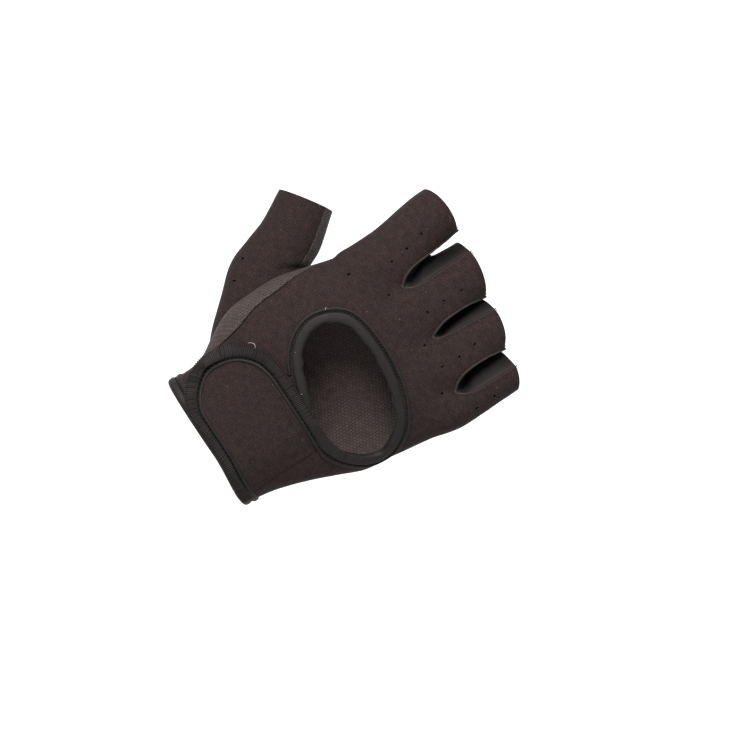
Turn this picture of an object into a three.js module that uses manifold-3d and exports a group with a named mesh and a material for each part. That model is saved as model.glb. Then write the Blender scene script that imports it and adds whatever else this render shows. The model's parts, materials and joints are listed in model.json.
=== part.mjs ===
// A right-hand fitness glove, worn shape: half fingers, an oval window in the back and a wrist strap.
// Millimetres. The origin is the centre of the wrist opening, +Y runs along the hand to the fingers,
// +Z comes out of the back of the hand and +X points to the little finger, so the thumb lies at -X.
import * as THREE from "three";
import { mergeVertices } from "three/addons/utils/BufferGeometryUtils.js";
import Module from "manifold-3d";

const wasm = await Module();
wasm.setup();

// Driving dimensions
const GAP = 0.3; // between neighbouring pieces
const NEOPRENE = 2.4; // panels of the back, thumb and strap
const GRIP_CLOTH = 1.8; // palm panels
const STRETCH_CLOTH = 1.0; // walls between the fingers
const ROLL = -0.1; // the little-finger side hangs lower, mm for each mm across
const ROLL_CENTRE = 5;
const FINGER_SLOPE = 0.2; // the fingers bend down from the knuckles
const KNUCKLE_Y = 88; // from here on the back parts into four finger tubes
const SQUARENESS = 2.3; // exponent of the body's rounded sections
const HEM_Y = 2.9; // middle of the hem
const HEM_WIDTH = 5.2;
const HEM_THICKNESS = 3.6;
const CUFF_Y = HEM_Y + HEM_WIDTH / 2 + 1.5 * GAP; // where the panels end in the hem
const ULNAR_SEAM = -12; // degrees, just under the little-finger edge

// Cross-sections of the hand, from the hem to the crotches: the two edges, the rise of the back, the
// depth of the palm, and the angle where the back panel's thumb-side seam runs (180 is the edge)
const BODY = [
  { y: 0, left: -34.5, right: 34.5, back: 18.5, palm: 19, seam: 168 },
  { y: 10, left: -33.5, right: 36, back: 18.5, palm: 19.5, seam: 166 },
  { y: 20, left: -35, right: 38.5, back: 18.5, palm: 20.5, seam: 158 },
  { y: 30, left: -40.6, right: 42, back: 18.5, palm: 22, seam: 145 },
  { y: 42, left: -46.2, right: 47, back: 18.5, palm: 22.5, seam: 138.5 },
  { y: 55, left: -47.6, right: 52.5, back: 18.5, palm: 21, seam: 145.5 },
  { y: 70, left: -47.2, right: 54.5, back: 18, palm: 18.5, seam: 149.5 },
  { y: 86, left: -43, right: 57, back: 17.5, palm: 16, seam: 167 },
  { y: 98, left: -40, right: 58.8, back: 17, palm: 15, seam: 184 },
  { y: 112, left: -39.9, right: 60.6, back: 15, palm: 13.5, seam: 193 },
  { y: 140, left: -42, right: 62, back: 13, palm: 12, seam: 195 },
];

// Finger tubes: their edges at the crotch and at the opening, half height, and the opening's edge:
// how far the back reaches at its two sides and at its crown
const FINGERS = [
  { root: [-40.3, -6], tip: [-44, -17.3], rise: 12.2, openLeft: 152.3, openRight: 154.2, openTop: 156.6 },
  { root: [-15, 23], tip: [-14, 15.9], rise: 12.8, openLeft: 151.5, openRight: 148, openTop: 154 },
  { root: [12, 49], tip: [16.5, 42.2], rise: 12.2, openLeft: 147, openRight: 142, openTop: 148.4 },
  { root: [40, 61.3], tip: [42.9, 61.4], rise: 10.4, openLeft: 141, openRight: 137, openTop: 142 },
];
const FINGER_ROOT_Y = 116;
const FINGER_TIP_Y = 150;
const OPENING_RAKE = 2.5; // the palm side of an opening is cut back by this
const SLIT_TRIM = 0.012; // the panels stop short of their seam lines by these shares of a finger's width
const SIDE_TRIM = 0.022;
const PALM_EDGE = 35; // degrees below the side where a finger's palm cloth begins
// Shares of the way from the back's edge to the palm's where each wall starts and ends: at its crotch,
// and beside the fingers
const WALL_TOP = [0.115, 0.04];
const WALL_END = [[0.72, 0.86], [0.8, 0.9], [0.8, 0.9]];
const WALL_REACH = 0.5;

// Column lines between the fingers, at the wrist, at the back's crotch and at the palm's crotch
const CROTCHES = [
  { wristX: -9, x: -10, y: 118.5, palmX: -15.5, palmY: 135 },
  { wristX: 9, x: 18, y: 117.5, palmX: 16.2, palmY: 131 },
  { wristX: 22, x: 45.3, y: 112, palmX: 42.6, palmY: 126 },
];
const SIDE_CROTCH_Y = [116, 109]; // the same station on the two outer sides
const PALM_SIDE_Y = [130, 122];

// Edges of the slits between the fingers: share of the way from crotch to opening, then x of each edge
const SLITS = [
  [
    { along: 0, left: -10, right: -10 },
    { along: 0.06, left: -12.6, right: -8 },
    { along: 0.26, left: -15.6, right: -7 },
    { along: 0.6, left: -18, right: -7 },
    { along: 1, left: -19.5, right: -7 },
  ],
  [
    { along: 0, left: 18, right: 18 },
    { along: 0.06, left: 16.2, right: 19.6 },
    { along: 0.3, left: 14.2, right: 20.3 },
    { along: 0.7, left: 14, right: 21.3 },
    { along: 1, left: 15.4, right: 22 },
  ],
  [
    { along: 0, left: 45.3, right: 45.3 },
    { along: 0.08, left: 42.6, right: 47.8 },
    { along: 0.3, left: 40.2, right: 49.5 },
    { along: 0.7, left: 40, right: 50 },
    { along: 1, left: 41.8, right: 50 },
  ],
];

// Inner edge of the window in the back, and its bound edge
const WINDOW = [
  [-16, 73], [-11, 84.5], [7, 88.2], [28, 85.6], [43, 78], [49.6, 65],
  [42, 53.2], [27, 47.6], [8, 53], [-10, 61.8],
];
const BINDING_WIDTH = 5.6;
const BINDING_PROUD = 0.8;
const PIPING_R = 0.75;
const WINDOW_STEPS = 42;
const REACH = 7; // how far the window's hole is cut to each side of the surface

// Thumb sections from the opening down into the hand: left and right edge, centre height, half height
const THUMB = [
  { at: 0, leftX: -81.8, leftY: 94.7, rightX: -58.9, rightY: 110.3, z: -2, rise: 12 },
  { at: 1, leftX: -74, leftY: 79.7, rightX: -47.2, rightY: 95, z: -3.5, rise: 12.6 },
  { at: 2, leftX: -70.4, leftY: 68.7, rightX: -42.3, rightY: 85, z: -5, rise: 13 },
  { at: 3, leftX: -65.8, leftY: 56, rightX: -34, rightY: 72, z: -6.5, rise: 13.6 },
  { at: 4, leftX: -55.6, leftY: 43.8, rightX: -25, rightY: 58, z: -6.5, rise: 14 },
  { at: 5, leftX: -43.2, leftY: 30.2, rightX: -15, rightY: 42, z: -4, rise: 12.5 },
  { at: 6, leftX: -30, leftY: 19, rightX: -9, rightY: 25, z: -2, rise: 8.5 },
];
const THUMB_SEAMS = [200, 42]; // degrees, where the thumb's back panel ends at the two sides

// Strap over the back of the wrist: its root and its two edges, and how far they drop at the root
const STRAP = { rootX: 31, low: 6.6, high: 44.2, rootDrop: 2.6 };
const STRAP_BINDING = 5.2; // width of the binding round it
const STRAP_INSET = 0.75; // its piping runs this far inside the panel's edge
const STRAP_RING = 6.2; // from the piping's middle to the binding's outer edge, beside the tip
// Round the tip: the piping's middle line and the binding's outer edge, from the high to the low side
const STRAP_TIP = [
  { at: 0, pipingX: -8.3, pipingY: 43.45, edgeX: -8.5, edgeY: 49.65 },
  { at: 1, pipingX: -14.8, pipingY: 41.9, edgeX: -16.5, edgeY: 48.6 },
  { at: 2, pipingX: -19.6, pipingY: 39, edgeX: -23.5, edgeY: 44.8 },
  { at: 3, pipingX: -23.6, pipingY: 34.3, edgeX: -29.8, edgeY: 38.2 },
  { at: 4, pipingX: -25.6, pipingY: 27.8, edgeX: -33.2, edgeY: 30 },
  { at: 5, pipingX: -25.5, pipingY: 21, edgeX: -33.8, edgeY: 20.5 },
  { at: 6, pipingX: -23.3, pipingY: 16, edgeX: -31, edgeY: 13 },
  { at: 7, pipingX: -20.5, pipingY: 12.6, edgeX: -26.6, edgeY: 7.6 },
  { at: 8, pipingX: -17, pipingY: 9.7, edgeX: -21.5, edgeY: 3.9 },
  { at: 9, pipingX: -12, pipingY: 7.35, edgeX: -14, edgeY: 1.15 },
];
const STRAP_THICKNESS = 2.4;
const STRAP_LIFT = 0.55; // clear of the back panel
const STRAP_OVER_HEM = 1.1; // and more where it crosses the hem and the window's binding

// Ventilation holes punched in the back, and in the thumb
const VENT_R = 0.6;
const VENTS = [
  [-26.2, 138.8], [-24, 129.2], [-22.8, 119.9], [-10.5, 110.2], [-28.9, 99.6],
  [6.4, 140.1], [5.9, 130.5], [6.2, 120.8], [18.5, 111.3],
  [31.1, 131.4], [32.1, 122], [31.5, 112.5], [42, 105.6], [56.9, 125.8], [57.2, 115.7],
];
const THUMB_VENTS = [[-56.8, 53], [-63.6, 62.1]];

const radians = THREE.MathUtils.degToRad;
const lerp = THREE.MathUtils.lerp;
const clamp = THREE.MathUtils.clamp;
const smooth = (t) => THREE.MathUtils.smoothstep(t, 0, 1);
const power = (value, exponent) => Math.sign(value) * Math.abs(value) ** exponent;

// A table's column at a station, as a smooth curve through its rows
function column(table, stationKey, valueKey, station) {
  const last = table.length - 1;
  let k = 0;
  while (k < last - 1 && station > table[k + 1][stationKey]) k++;
  const [p, q] = [table[k], table[k + 1]];
  const step = q[stationKey] - p[stationKey];
  const t = clamp((station - p[stationKey]) / step, 0, 1);
  const slope = (a, b) => (b[valueKey] - a[valueKey]) / (b[stationKey] - a[stationKey]);
  const m0 = slope(table[Math.max(0, k - 1)], q) * step;
  const m1 = slope(p, table[Math.min(last, k + 2)]) * step;
  const [t2, t3] = [t * t, t * t * t];
  return (2 * t3 - 3 * t2 + 1) * p[valueKey] + (t3 - 2 * t2 + t) * m0 +
    (3 * t2 - 2 * t3) * q[valueKey] + (t3 - t2) * m1;
}

// Height of the hand's middle surface: rolled a little, and bent down from the knuckles on
function level(x, y) {
  const bend = Math.max(0, y - KNUCKLE_Y);
  const soft = 30;
  const drop = bend < soft ? (bend * bend) / (2 * soft) : bend - soft / 2;
  return ROLL * (x - ROLL_CENTRE) - FINGER_SLOPE * drop;
}

function section(y) {
  const row = {};
  for (const key of ["left", "right", "back", "palm", "seam"]) row[key] = column(BODY, "y", key, y);
  row.centre = (row.left + row.right) / 2;
  row.half = (row.right - row.left) / 2;
  return row;
}

// Point of the hand's body at an angle: 180 is the thumb side, 90 the back, 0 the little-finger side
function bodyPoint(degrees, y) {
  const s = section(y);
  const [c, r] = [Math.cos(radians(degrees)), Math.sin(radians(degrees))];
  const x = s.centre + s.half * power(c, 2 / SQUARENESS);
  return new THREE.Vector3(x, y, level(x, y) + (r > 0 ? s.back : s.palm) * power(r, 2 / SQUARENESS));
}

function bodyAngle(x, y) {
  const s = section(y);
  const share = clamp((x - s.centre) / s.half, -1, 1);
  return THREE.MathUtils.radToDeg(Math.acos(power(share, SQUARENESS / 2)));
}

function fingerTube(i, y) {
  const f = FINGERS[i];
  const t = clamp((y - FINGER_ROOT_Y) / (FINGER_TIP_Y - FINGER_ROOT_Y), 0, 1);
  const [left, right] = [0, 1].map((side) => lerp(f.root[side], f.tip[side], smooth(t)));
  return { centre: (left + right) / 2, half: (right - left) / 2, rise: f.rise };
}

function fingerPoint(i, degrees, y) {
  const tube = fingerTube(i, y);
  const x = tube.centre + tube.half * Math.cos(radians(degrees));
  return new THREE.Vector3(x, y, level(tube.centre, y) + 1 + tube.rise * Math.sin(radians(degrees)));
}

function fingerAngle(i, x, y) {
  const tube = fingerTube(i, y);
  return THREE.MathUtils.radToDeg(Math.acos(clamp((x - tube.centre) / tube.half, -1, 1)));
}

// Where a finger's opening is cut, at an angle round it
function openingY(i, degrees) {
  const f = FINGERS[i];
  const across = (1 + Math.cos(radians(degrees))) / 2;
  const side = lerp(f.openLeft, f.openRight, across);
  const up = Math.sin(radians(degrees));
  return up > 0 ? side + (f.openTop - (f.openLeft + f.openRight) / 2) * up : side + OPENING_RAKE * up;
}

// The line between two columns, up to its crotch
function columnX(j, y, palm) {
  const c = CROTCHES[j - 1];
  const onBack = lerp(c.wristX, c.x, Math.min(1, y / c.y));
  return palm && y > c.y ? lerp(c.x, c.palmX, clamp((y - c.y) / (c.palmY - c.y), 0, 1)) : onBack;
}

function crotchY(j, palm) {
  const sides = palm ? PALM_SIDE_Y : SIDE_CROTCH_Y;
  if (j === 0 || j === 4) return sides[j / 4];
  return palm ? CROTCHES[j - 1].palmY : CROTCHES[j - 1].y;
}

// Angle of a panel's edge on finger i: side 0 is towards the thumb, side 1 towards the little finger
function edgeAngle(i, side, y, palm) {
  const j = i + side;
  if (j === 0) return section(y).seam;
  if (j === 4) return palm ? 360 + ULNAR_SEAM : ULNAR_SEAM;
  const ridge = crotchY(j, palm);
  if (y <= ridge) {
    const angle = fingerAngle(i, columnX(j, y, palm), y);
    return palm ? 360 - angle : angle;
  }
  if (palm) {
    const start = 360 - fingerAngle(i, CROTCHES[j - 1].palmX, ridge);
    return lerp(start, side ? 360 - PALM_EDGE : 180 + PALM_EDGE, smooth((y - ridge) / 8));
  }
  const f = FINGERS[i];
  const along = (y - ridge) / ((side ? f.openRight : f.openLeft) - ridge);
  return fingerAngle(i, column(SLITS[j - 1], "along", side ? "left" : "right", along), y);
}

// Angle of the same edge on the hand's body
function bodyEdgeAngle(j, y, palm) {
  if (j === 0) return section(y).seam;
  if (j === 4) return palm ? 360 + ULNAR_SEAM : ULNAR_SEAM;
  const angle = bodyAngle(columnX(j, y, palm), y);
  return palm ? 360 - angle : angle;
}

const bodyEdges = (i, y, palm) => [bodyEdgeAngle(i, y, palm), bodyEdgeAngle(i + 1, y, palm)];

function rawPoint(i, share, y, palm) {
  const onFinger = lerp(edgeAngle(i, 0, y, palm), edgeAngle(i, 1, y, palm), share);
  const finger = fingerPoint(i, onFinger, y);
  const part = lerp(crotchY(i, palm), crotchY(i + 1, palm), share);
  if (y >= part) return finger;
  const body = bodyPoint(lerp(...bodyEdges(i, y, palm), share), y);
  return body.lerp(finger, smooth((y - KNUCKLE_Y) / (part - KNUCKLE_Y)));
}

// Outer surface of the back or the palm. u runs across, one unit a finger; v runs from the hem (0) to
// the crotches (1) and on to the openings (2). Neighbouring columns are pulled together at their line.
function panelPoint(u, v, palm, columnIndex) {
  const i = columnIndex ?? clamp(Math.floor(u), 0, 3);
  const share = u - i;
  const ridge = lerp(crotchY(i, palm), crotchY(i + 1, palm), share);
  const end = lerp(edgeAngle(i, 0, FINGER_TIP_Y, palm), edgeAngle(i, 1, FINGER_TIP_Y, palm), share);
  const cuff = CUFF_Y - rootDrop(bodyPoint(lerp(...bodyEdges(i, CUFF_Y, palm), share), CUFF_Y).x);
  const y = v <= 1 ? lerp(cuff, ridge, v) : lerp(ridge, openingY(i, end), v - 1);
  const point = rawPoint(i, share, y, palm);
  for (const side of [0, 1]) {
    const j = i + side;
    if (j === 0 || j === 4) continue;
    const beyond = Math.max(0, y - crotchY(j, palm));
    const hold = (1 - smooth(beyond / 7)) * smooth(side ? share : 1 - share);
    if (hold <= 0) continue;
    const [mine, theirs] = [rawPoint(i, side, y, palm), rawPoint(i + 2 * side - 1, 1 - side, y, palm)];
    point.addScaledVector(theirs.sub(mine), hold / 2);
  }
  return point;
}

// Radial projection of a point on the body's surface, and the outward normal there
function onBody(point) {
  const s = section(point.y);
  const dx = point.x - s.centre;
  const dz = point.z - level(point.x, point.y);
  const tall = dz > 0 ? s.back : s.palm;
  const [across, up] = [Math.abs(dx) / s.half, Math.abs(dz) / tall];
  const size = (across ** SQUARENESS + up ** SQUARENESS) ** (1 / SQUARENESS);
  const x = s.centre + dx / size;
  return new THREE.Vector3(x, point.y, level(x, point.y) + dz / size);
}

function onBack(x, y) {
  return bodyPoint(bodyAngle(x, y), y);
}

function bodyNormal(point) {
  const side = bodyAngle(point.x, point.y);
  const angle = point.z > level(point.x, point.y) ? side : 360 - side;
  const across = bodyPoint(angle - 0.5, point.y).sub(bodyPoint(angle + 0.5, point.y));
  const along = bodyPoint(angle, point.y + 0.5).sub(bodyPoint(angle, point.y - 0.5));
  return across.cross(along).normalize();
}

// A closed solid from a geometry; corners at the same place become one
function solidOf(geometry) {
  geometry.deleteAttribute("normal");
  geometry.deleteAttribute("uv");
  const merged = mergeVertices(geometry, 1e-4);
  return new wasm.Manifold(new wasm.Mesh({
    numProp: 3,
    vertProperties: merged.attributes.position.array,
    triVerts: new Uint32Array(merged.index.array),
  }));
}

// A closed solid from points and triangles
function solid(positions, triangles) {
  const geometry = new THREE.BufferGeometry();
  const numbers = positions.flatMap((p) => p.toArray());
  geometry.setAttribute("position", new THREE.Float32BufferAttribute(numbers, 3));
  geometry.setIndex(triangles);
  return solidOf(geometry);
}

// The same, turned right way out whichever way its triangles run
function facingOut(positions, triangles) {
  const made = solid(positions, triangles);
  if (made.volume() > 0) return made;
  const turned = [];
  for (let t = 0; t < triangles.length; t += 3) turned.push(triangles[t], triangles[t + 2], triangles[t + 1]);
  return solid(positions, turned);
}

// Thickens a sheet of quads: the outer points, the inner points and walls along its free edges
function thicken(outer, inner, quads) {
  const count = outer.length;
  const triangles = [];
  const used = new Set(quads.flatMap((q) => q.map((a, k) => `${a},${q[(k + 1) % 4]}`)));
  for (const [a, b, c, d] of quads) {
    triangles.push(a, b, c, a, c, d);
    triangles.push(count + a, count + c, count + b, count + a, count + d, count + c);
    for (const [p, q] of [[a, b], [b, c], [c, d], [d, a]]) {
      if (used.has(`${q},${p}`)) continue;
      triangles.push(p, count + p, count + q, p, count + q, q);
    }
  }
  return solid([...outer, ...inner], triangles);
}

// A sheet over a surface given as a function of u and v, with its inside offset by the thickness
function sheet(surface, us, vs, thickness) {
  const [outer, inner, quads] = [[], [], []];
  for (const v of vs) {
    for (const u of us) {
      outer.push(surface(u, v));
      inner.push(surface(u, v).addScaledVector(surfaceNormal(surface, u, v), -thickness));
    }
  }
  for (let j = 0; j < vs.length - 1; j++) {
    for (let i = 0; i < us.length - 1; i++) {
      const a = j * us.length + i;
      quads.push([a, a + 1, a + us.length + 1, a + us.length]);
    }
  }
  return thicken(outer, inner, quads);
}

function surfaceNormal(surface, u, v) {
  const e = 0.01;
  const across = surface(u + e, v).sub(surface(u - e, v));
  const along = surface(u, v + e).sub(surface(u, v - e));
  return across.cross(along).normalize();
}

const steps = (count, from = 0, to = 1) =>
  Array.from({ length: count + 1 }, (_, k) => lerp(from, to, k / count));

// The back or the palm as one sheet that is slit between the fingers
function handPanel(palm, acrossSteps, bodyRows, fingerRows, thickness) {
  const [outer, inner, quads, index] = [[], [], [], new Map()];
  const vs = [...steps(bodyRows), ...steps(fingerRows, 1, 2).slice(1)];
  const turn = palm ? -1 : 1;
  const vertex = (i, k, row) => {
    const joined = vs[row] <= 1;
    const onLine = k === acrossSteps && i < 3 && joined;
    const key = onLine ? `${i + 1},0,${row}` : `${i},${k},${row}`;
    if (index.has(key)) return index.get(key);
    const low = i === 0 ? SIDE_TRIM : joined ? 0 : SLIT_TRIM;
    const high = i === 3 ? SIDE_TRIM : joined ? 0 : SLIT_TRIM;
    const u = i + lerp(low, 1 - high, k / acrossSteps);
    const surface = (a, b) => panelPoint(a, b, palm, i);
    const [inset, e] = [0.03, 0.004];
    const safe = clamp(u, i + inset, i + 1 - inset);
    const across = surface(safe + e, vs[row]).sub(surface(safe - e, vs[row]));
    const along = surface(safe, vs[row] + e).sub(surface(safe, vs[row] - e));
    let normal = across.cross(along).normalize().multiplyScalar(turn);
    if (joined && ((k === 0 && i > 0) || onLine)) {
      const other = k === 0 ? i - 1 : i + 1;
      const edge = k === 0 ? i - inset : i + 1 + inset;
      const beside = (a, b) => panelPoint(a, b, palm, other);
      const over = beside(edge + e, vs[row]).sub(beside(edge - e, vs[row]));
      const up = beside(edge, vs[row] + e).sub(beside(edge, vs[row] - e));
      normal.add(over.cross(up).normalize().multiplyScalar(turn)).normalize();
    }
    outer.push(surface(u, vs[row]));
    inner.push(surface(u, vs[row]).addScaledVector(normal, -thickness));
    index.set(key, outer.length - 1);
    return outer.length - 1;
  };
  for (let row = 0; row < vs.length - 1; row++) {
    for (let i = 0; i < 4; i++) {
      for (let k = 0; k < acrossSteps; k++) {
        const near = [vertex(i, k, row), vertex(i, k + 1, row)];
        const quad = [...near, vertex(i, k + 1, row + 1), vertex(i, k, row + 1)];
        quads.push(palm ? quad.reverse() : quad);
      }
    }
  }
  return thicken(outer, inner, quads);
}

// A bar of a given profile along a path. Each frame gives a point and the directions across and up;
// the profile is a list of [across, up], anticlockwise seen with the path coming at the viewer.
function sweep(frames, profile, closed) {
  const points = frames.flatMap((f) => profile(f).map(([a, b]) =>
    f.point.clone().addScaledVector(f.across, a).addScaledVector(f.up, b)));
  const sides = profile(frames[0]).length;
  const triangles = [];
  const rings = frames.length;
  for (let r = 0; r < (closed ? rings : rings - 1); r++) {
    for (let k = 0; k < sides; k++) {
      const [a, b] = [r * sides + k, r * sides + ((k + 1) % sides)];
      const [c, d] = [a, b].map((n) => (n + sides) % (rings * sides));
      triangles.push(a, b, d, a, d, c);
    }
  }
  if (!closed) {
    for (let k = 1; k < sides - 1; k++) {
      triangles.push(0, k + 1, k);
      const last = (rings - 1) * sides;
      triangles.push(last, last + k, last + k + 1);
    }
  }
  return facingOut(points, triangles);
}

// An oval profile, flat by wide
function oval(halfWidth, halfHeight, sides, centreAcross = 0, centreUp = 0) {
  return steps(sides).slice(0, -1).map((t) => [
    centreAcross + halfWidth * power(Math.cos(t * 2 * Math.PI), 0.7),
    centreUp + halfHeight * power(Math.sin(t * 2 * Math.PI), 0.7),
  ]);
}

// Frames along a line that lies on the back, from its points seen from above
function framesOnBack(outline, closed, lift = () => 0) {
  const points = outline.map(([x, y]) => onBack(x, y));
  const count = points.length;
  return points.map((point, k) => {
    const next = points[closed ? (k + 1) % count : Math.min(count - 1, k + 1)];
    const before = points[closed ? (k + count - 1) % count : Math.max(0, k - 1)];
    const along = next.clone().sub(before).normalize();
    const up = bodyNormal(point);
    const across = along.clone().cross(up).normalize();
    return { point: point.clone().addScaledVector(up, lift(point)), across, up, along };
  });
}

// The window's edge as a closed smooth line, its points evenly spread
function windowOutline(count) {
  const corners = WINDOW.map(([x, y]) => new THREE.Vector3(x, y, 0));
  const curve = new THREE.CatmullRomCurve3(corners, true, "centripetal");
  return curve.getSpacedPoints(count).slice(0, -1).map((p) => [p.x, p.y]);
}

// A rail beside the window's edge, on the surface, at a distance outwards
function windowRail(count, distance) {
  const frames = framesOnBack(windowOutline(count), true);
  const centre = new THREE.Vector3(17, 68, 0);
  return frames.map((f) => {
    const out = f.across.clone();
    if (out.dot(f.point.clone().sub(centre)) < 0) out.negate();
    const point = onBody(f.point.clone().addScaledVector(out, distance));
    const up = bodyNormal(point);
    return { point, up, across: out.addScaledVector(up, -out.dot(up)).normalize() };
  });
}

// Outline of the strap's tip grown by a distance: x, y and how much wider the binding is there
function strapOutline(grow, cornerSteps) {
  const share = (grow + STRAP_INSET) / STRAP_RING;
  return steps(2 * cornerSteps + 1, 0, STRAP_TIP.length - 1).map((at) => {
    const value = (key) => column(STRAP_TIP, "at", key, at);
    const [dx, dy] = [value("edgeX") - value("pipingX"), value("edgeY") - value("pipingY")];
    return [value("pipingX") + dx * share, value("pipingY") + dy * share, Math.hypot(dx, dy) / STRAP_RING];
  });
}

// The strap's lower edge and the hem bend down towards the little-finger side
function rootDrop(x) {
  return STRAP.rootDrop * smooth((x - 8) / 26);
}

// How far the strap stands off the back panel: lifted over the hem and over the window's binding
function strapLift(x, y) {
  const overHem = smooth((13 - y) / 6);
  const overBinding = smooth((y - 38) / 5) * smooth((x + 22) / 12);
  return STRAP_LIFT + STRAP_OVER_HEM * Math.max(overHem, overBinding);
}

// The strap's thickness falls away where its root is sewn down
function strapHeight(x) {
  return lerp(STRAP_THICKNESS, 0.9, smooth((x - 16) / (STRAP.rootX - 16)));
}

function strapPanel() {
  const rim = strapOutline(0, 7);
  const [top, low] = [rim[0][0], rim[rim.length - 1][0]];
  const upper = steps(6, STRAP.rootX, top).slice(0, -1).map((x) => [x, STRAP.high]);
  const lower = steps(6, low, STRAP.rootX).slice(1).map((x) => [x, STRAP.low - rootDrop(x)]);
  const edge = [...upper, ...rim, ...lower];
  const rows = edge.length / 2;
  const rings = 6;
  const surface = (row, k) => {
    const [a, b] = [edge[row], edge[edge.length - 1 - row]];
    return [lerp(a[0], b[0], k / rings), lerp(a[1], b[1], k / rings)];
  };
  const [outer, inner, quads] = [[], [], []];
  for (let row = 0; row < rows; row++) {
    for (let k = 0; k <= rings; k++) {
      const [x, y] = surface(row, k);
      const point = onBack(x, y);
      const normal = bodyNormal(point);
      const lift = strapLift(x, y);
      outer.push(point.clone().addScaledVector(normal, lift + strapHeight(x)));
      inner.push(point.clone().addScaledVector(normal, lift));
      if (row === rows - 1 || k === rings) continue;
      const a = row * (rings + 1) + k;
      quads.push([a, a + rings + 1, a + rings + 2, a + 1]);
    }
  }
  const made = thicken(outer, inner, quads);
  return made.volume() > 0 ? made : thicken(outer, inner, quads.map((q) => q.reverse()));
}

// The line that a binding or piping follows round the strap, at a distance outside its panel
function strapRail(distance, rootTop, rootLow) {
  const rim = strapOutline(distance, 8);
  const [top, low] = [rim[0], rim[rim.length - 1]];
  const upper = steps(6, rootTop, top[0]).slice(0, -1).map((x) => [x, top[1], 1]);
  const lower = steps(6, low[0], rootLow).slice(1).map((x) => [x, low[1] - rootDrop(x), 1]);
  const line = [...upper, ...rim, ...lower];
  const frames = framesOnBack(line, false, (p) => strapLift(p.x, p.y));
  return frames.map((f, k) => ({ ...f, wide: line[k][2] }));
}

function strapBinding() {
  const middle = STRAP_BINDING / 2 + GAP;
  return sweep(strapRail(middle, 21, STRAP.rootX + 1), (f) => {
    const height = strapHeight(f.point.x) * 0.5;
    return oval((STRAP_BINDING / 2 - 0.05) * f.wide, height, 8, 0, height + 0.02);
  }, false);
}

function strapPiping() {
  return sweep(strapRail(-STRAP_INSET, STRAP.rootX - 1, STRAP.rootX - 1), (f) => {
    const height = strapHeight(f.point.x);
    return oval(PIPING_R, PIPING_R * 0.7, 6, 0, height + 1.5 * GAP + PIPING_R * 0.7);
  }, false);
}

function windowBinding() {
  const height = (NEOPRENE + 2 * BINDING_PROUD) / 2;
  const profile = () => oval(BINDING_WIDTH / 2, height, 8, 0, -NEOPRENE / 2);
  return sweep(windowRail(WINDOW_STEPS, BINDING_WIDTH / 2), profile, true);
}

// The piping is left out where the strap lies over it
function windowPiping() {
  const rail = windowRail(50, BINDING_WIDTH + PIPING_R + 0.5);
  const hidden = (p) => p.y < STRAP.high + STRAP_BINDING + 1.6 && p.x < STRAP.rootX + 3;
  const before = (k) => rail[(k + rail.length - 1) % rail.length].point;
  const first = rail.findIndex((f, k) => hidden(before(k)) && !hidden(f.point));
  const turned = [...rail.slice(first), ...rail.slice(0, first)].filter((f) => !hidden(f.point));
  return sweep(turned, () => oval(PIPING_R, PIPING_R * 0.8, 6, 0, GAP + PIPING_R * 0.8), false);
}

// Wrist hem: a rolled edge right round the cuff, lower at the little-finger side
function wristHem() {
  const rim = (degrees) => {
    const point = bodyPoint(degrees, HEM_Y);
    point.y -= rootDrop(point.x);
    return point;
  };
  const frames = steps(32, 0, 360).slice(0, -1).map((degrees) => {
    const across = new THREE.Vector3(0, 1, 0);
    const along = rim(degrees + 1).sub(rim(degrees - 1)).normalize();
    return { point: rim(degrees), across, up: across.clone().cross(along).normalize() };
  });
  return sweep(frames, () => oval(HEM_WIDTH / 2, HEM_THICKNESS / 2, 8, 0, -NEOPRENE / 2), true);
}

// Line midway between two finger tubes: below the slit they touch, and each wall keeps to its own side
function midwayX(j, y) {
  const [first, second] = [fingerTube(j - 1, y), fingerTube(j, y)];
  return (first.centre + first.half + second.centre - second.half) / 2;
}

// Walls between the fingers: from the back's slit edge round the side of each finger to the palm
function fourchettePoint(j, along, down) {
  const side = along < 0 ? 0 : 1;
  const i = j - 1 + side;
  const reach = Math.abs(along);
  const c = CROTCHES[j - 1];
  const openBack = openingY(i, side ? 160 : 20);
  const yBack = lerp(c.y, openBack, reach);
  const yPalm = lerp(c.palmY, openingY(i, side ? 200 : -20), reach);
  const y = lerp(yBack, yPalm, down);
  const from = edgeAngle(i, 1 - side, yBack, false);
  const to = edgeAngle(i, 1 - side, yPalm, true) - (side ? 0 : 360);
  const wall = fingerPoint(i, lerp(from, to, down), y);
  const back = panelPoint(j, 1, false, j - 1);
  const palm = panelPoint(j, 1, true, j - 1);
  const web = back.lerp(palm, down);
  web.x = midwayX(j, web.y);
  const point = web.lerp(wall, smooth(reach / 0.3));
  const apart = GAP / 2 * smooth(reach / 0.1);
  const midway = midwayX(j, point.y);
  point.x = side ? Math.max(point.x, midway + apart) : Math.min(point.x, midway - apart);
  return point;
}

function fourchette(j) {
  const alongs = [-1, -0.75, -0.5, -0.3, -0.2, -0.1, 0, 0.1, 0.2, 0.3, 0.5, 0.75, 1];
  const surface = (a, b) => {
    const along = clamp(a, -1, 1);
    const reach = smooth(Math.abs(along) / WALL_REACH);
    return fourchettePoint(j, along, clamp(lerp(lerp(WALL_TOP[0], WALL_TOP[1], reach),
      lerp(WALL_END[j - 1][0], WALL_END[j - 1][1], reach), b), 0, 1));
  };
  return sheet(surface, alongs, steps(4), STRETCH_CLOTH);
}

function largest(body) {
  return body.decompose().reduce((a, b) => (b.volume() > a.volume() ? b : a));
}

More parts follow.
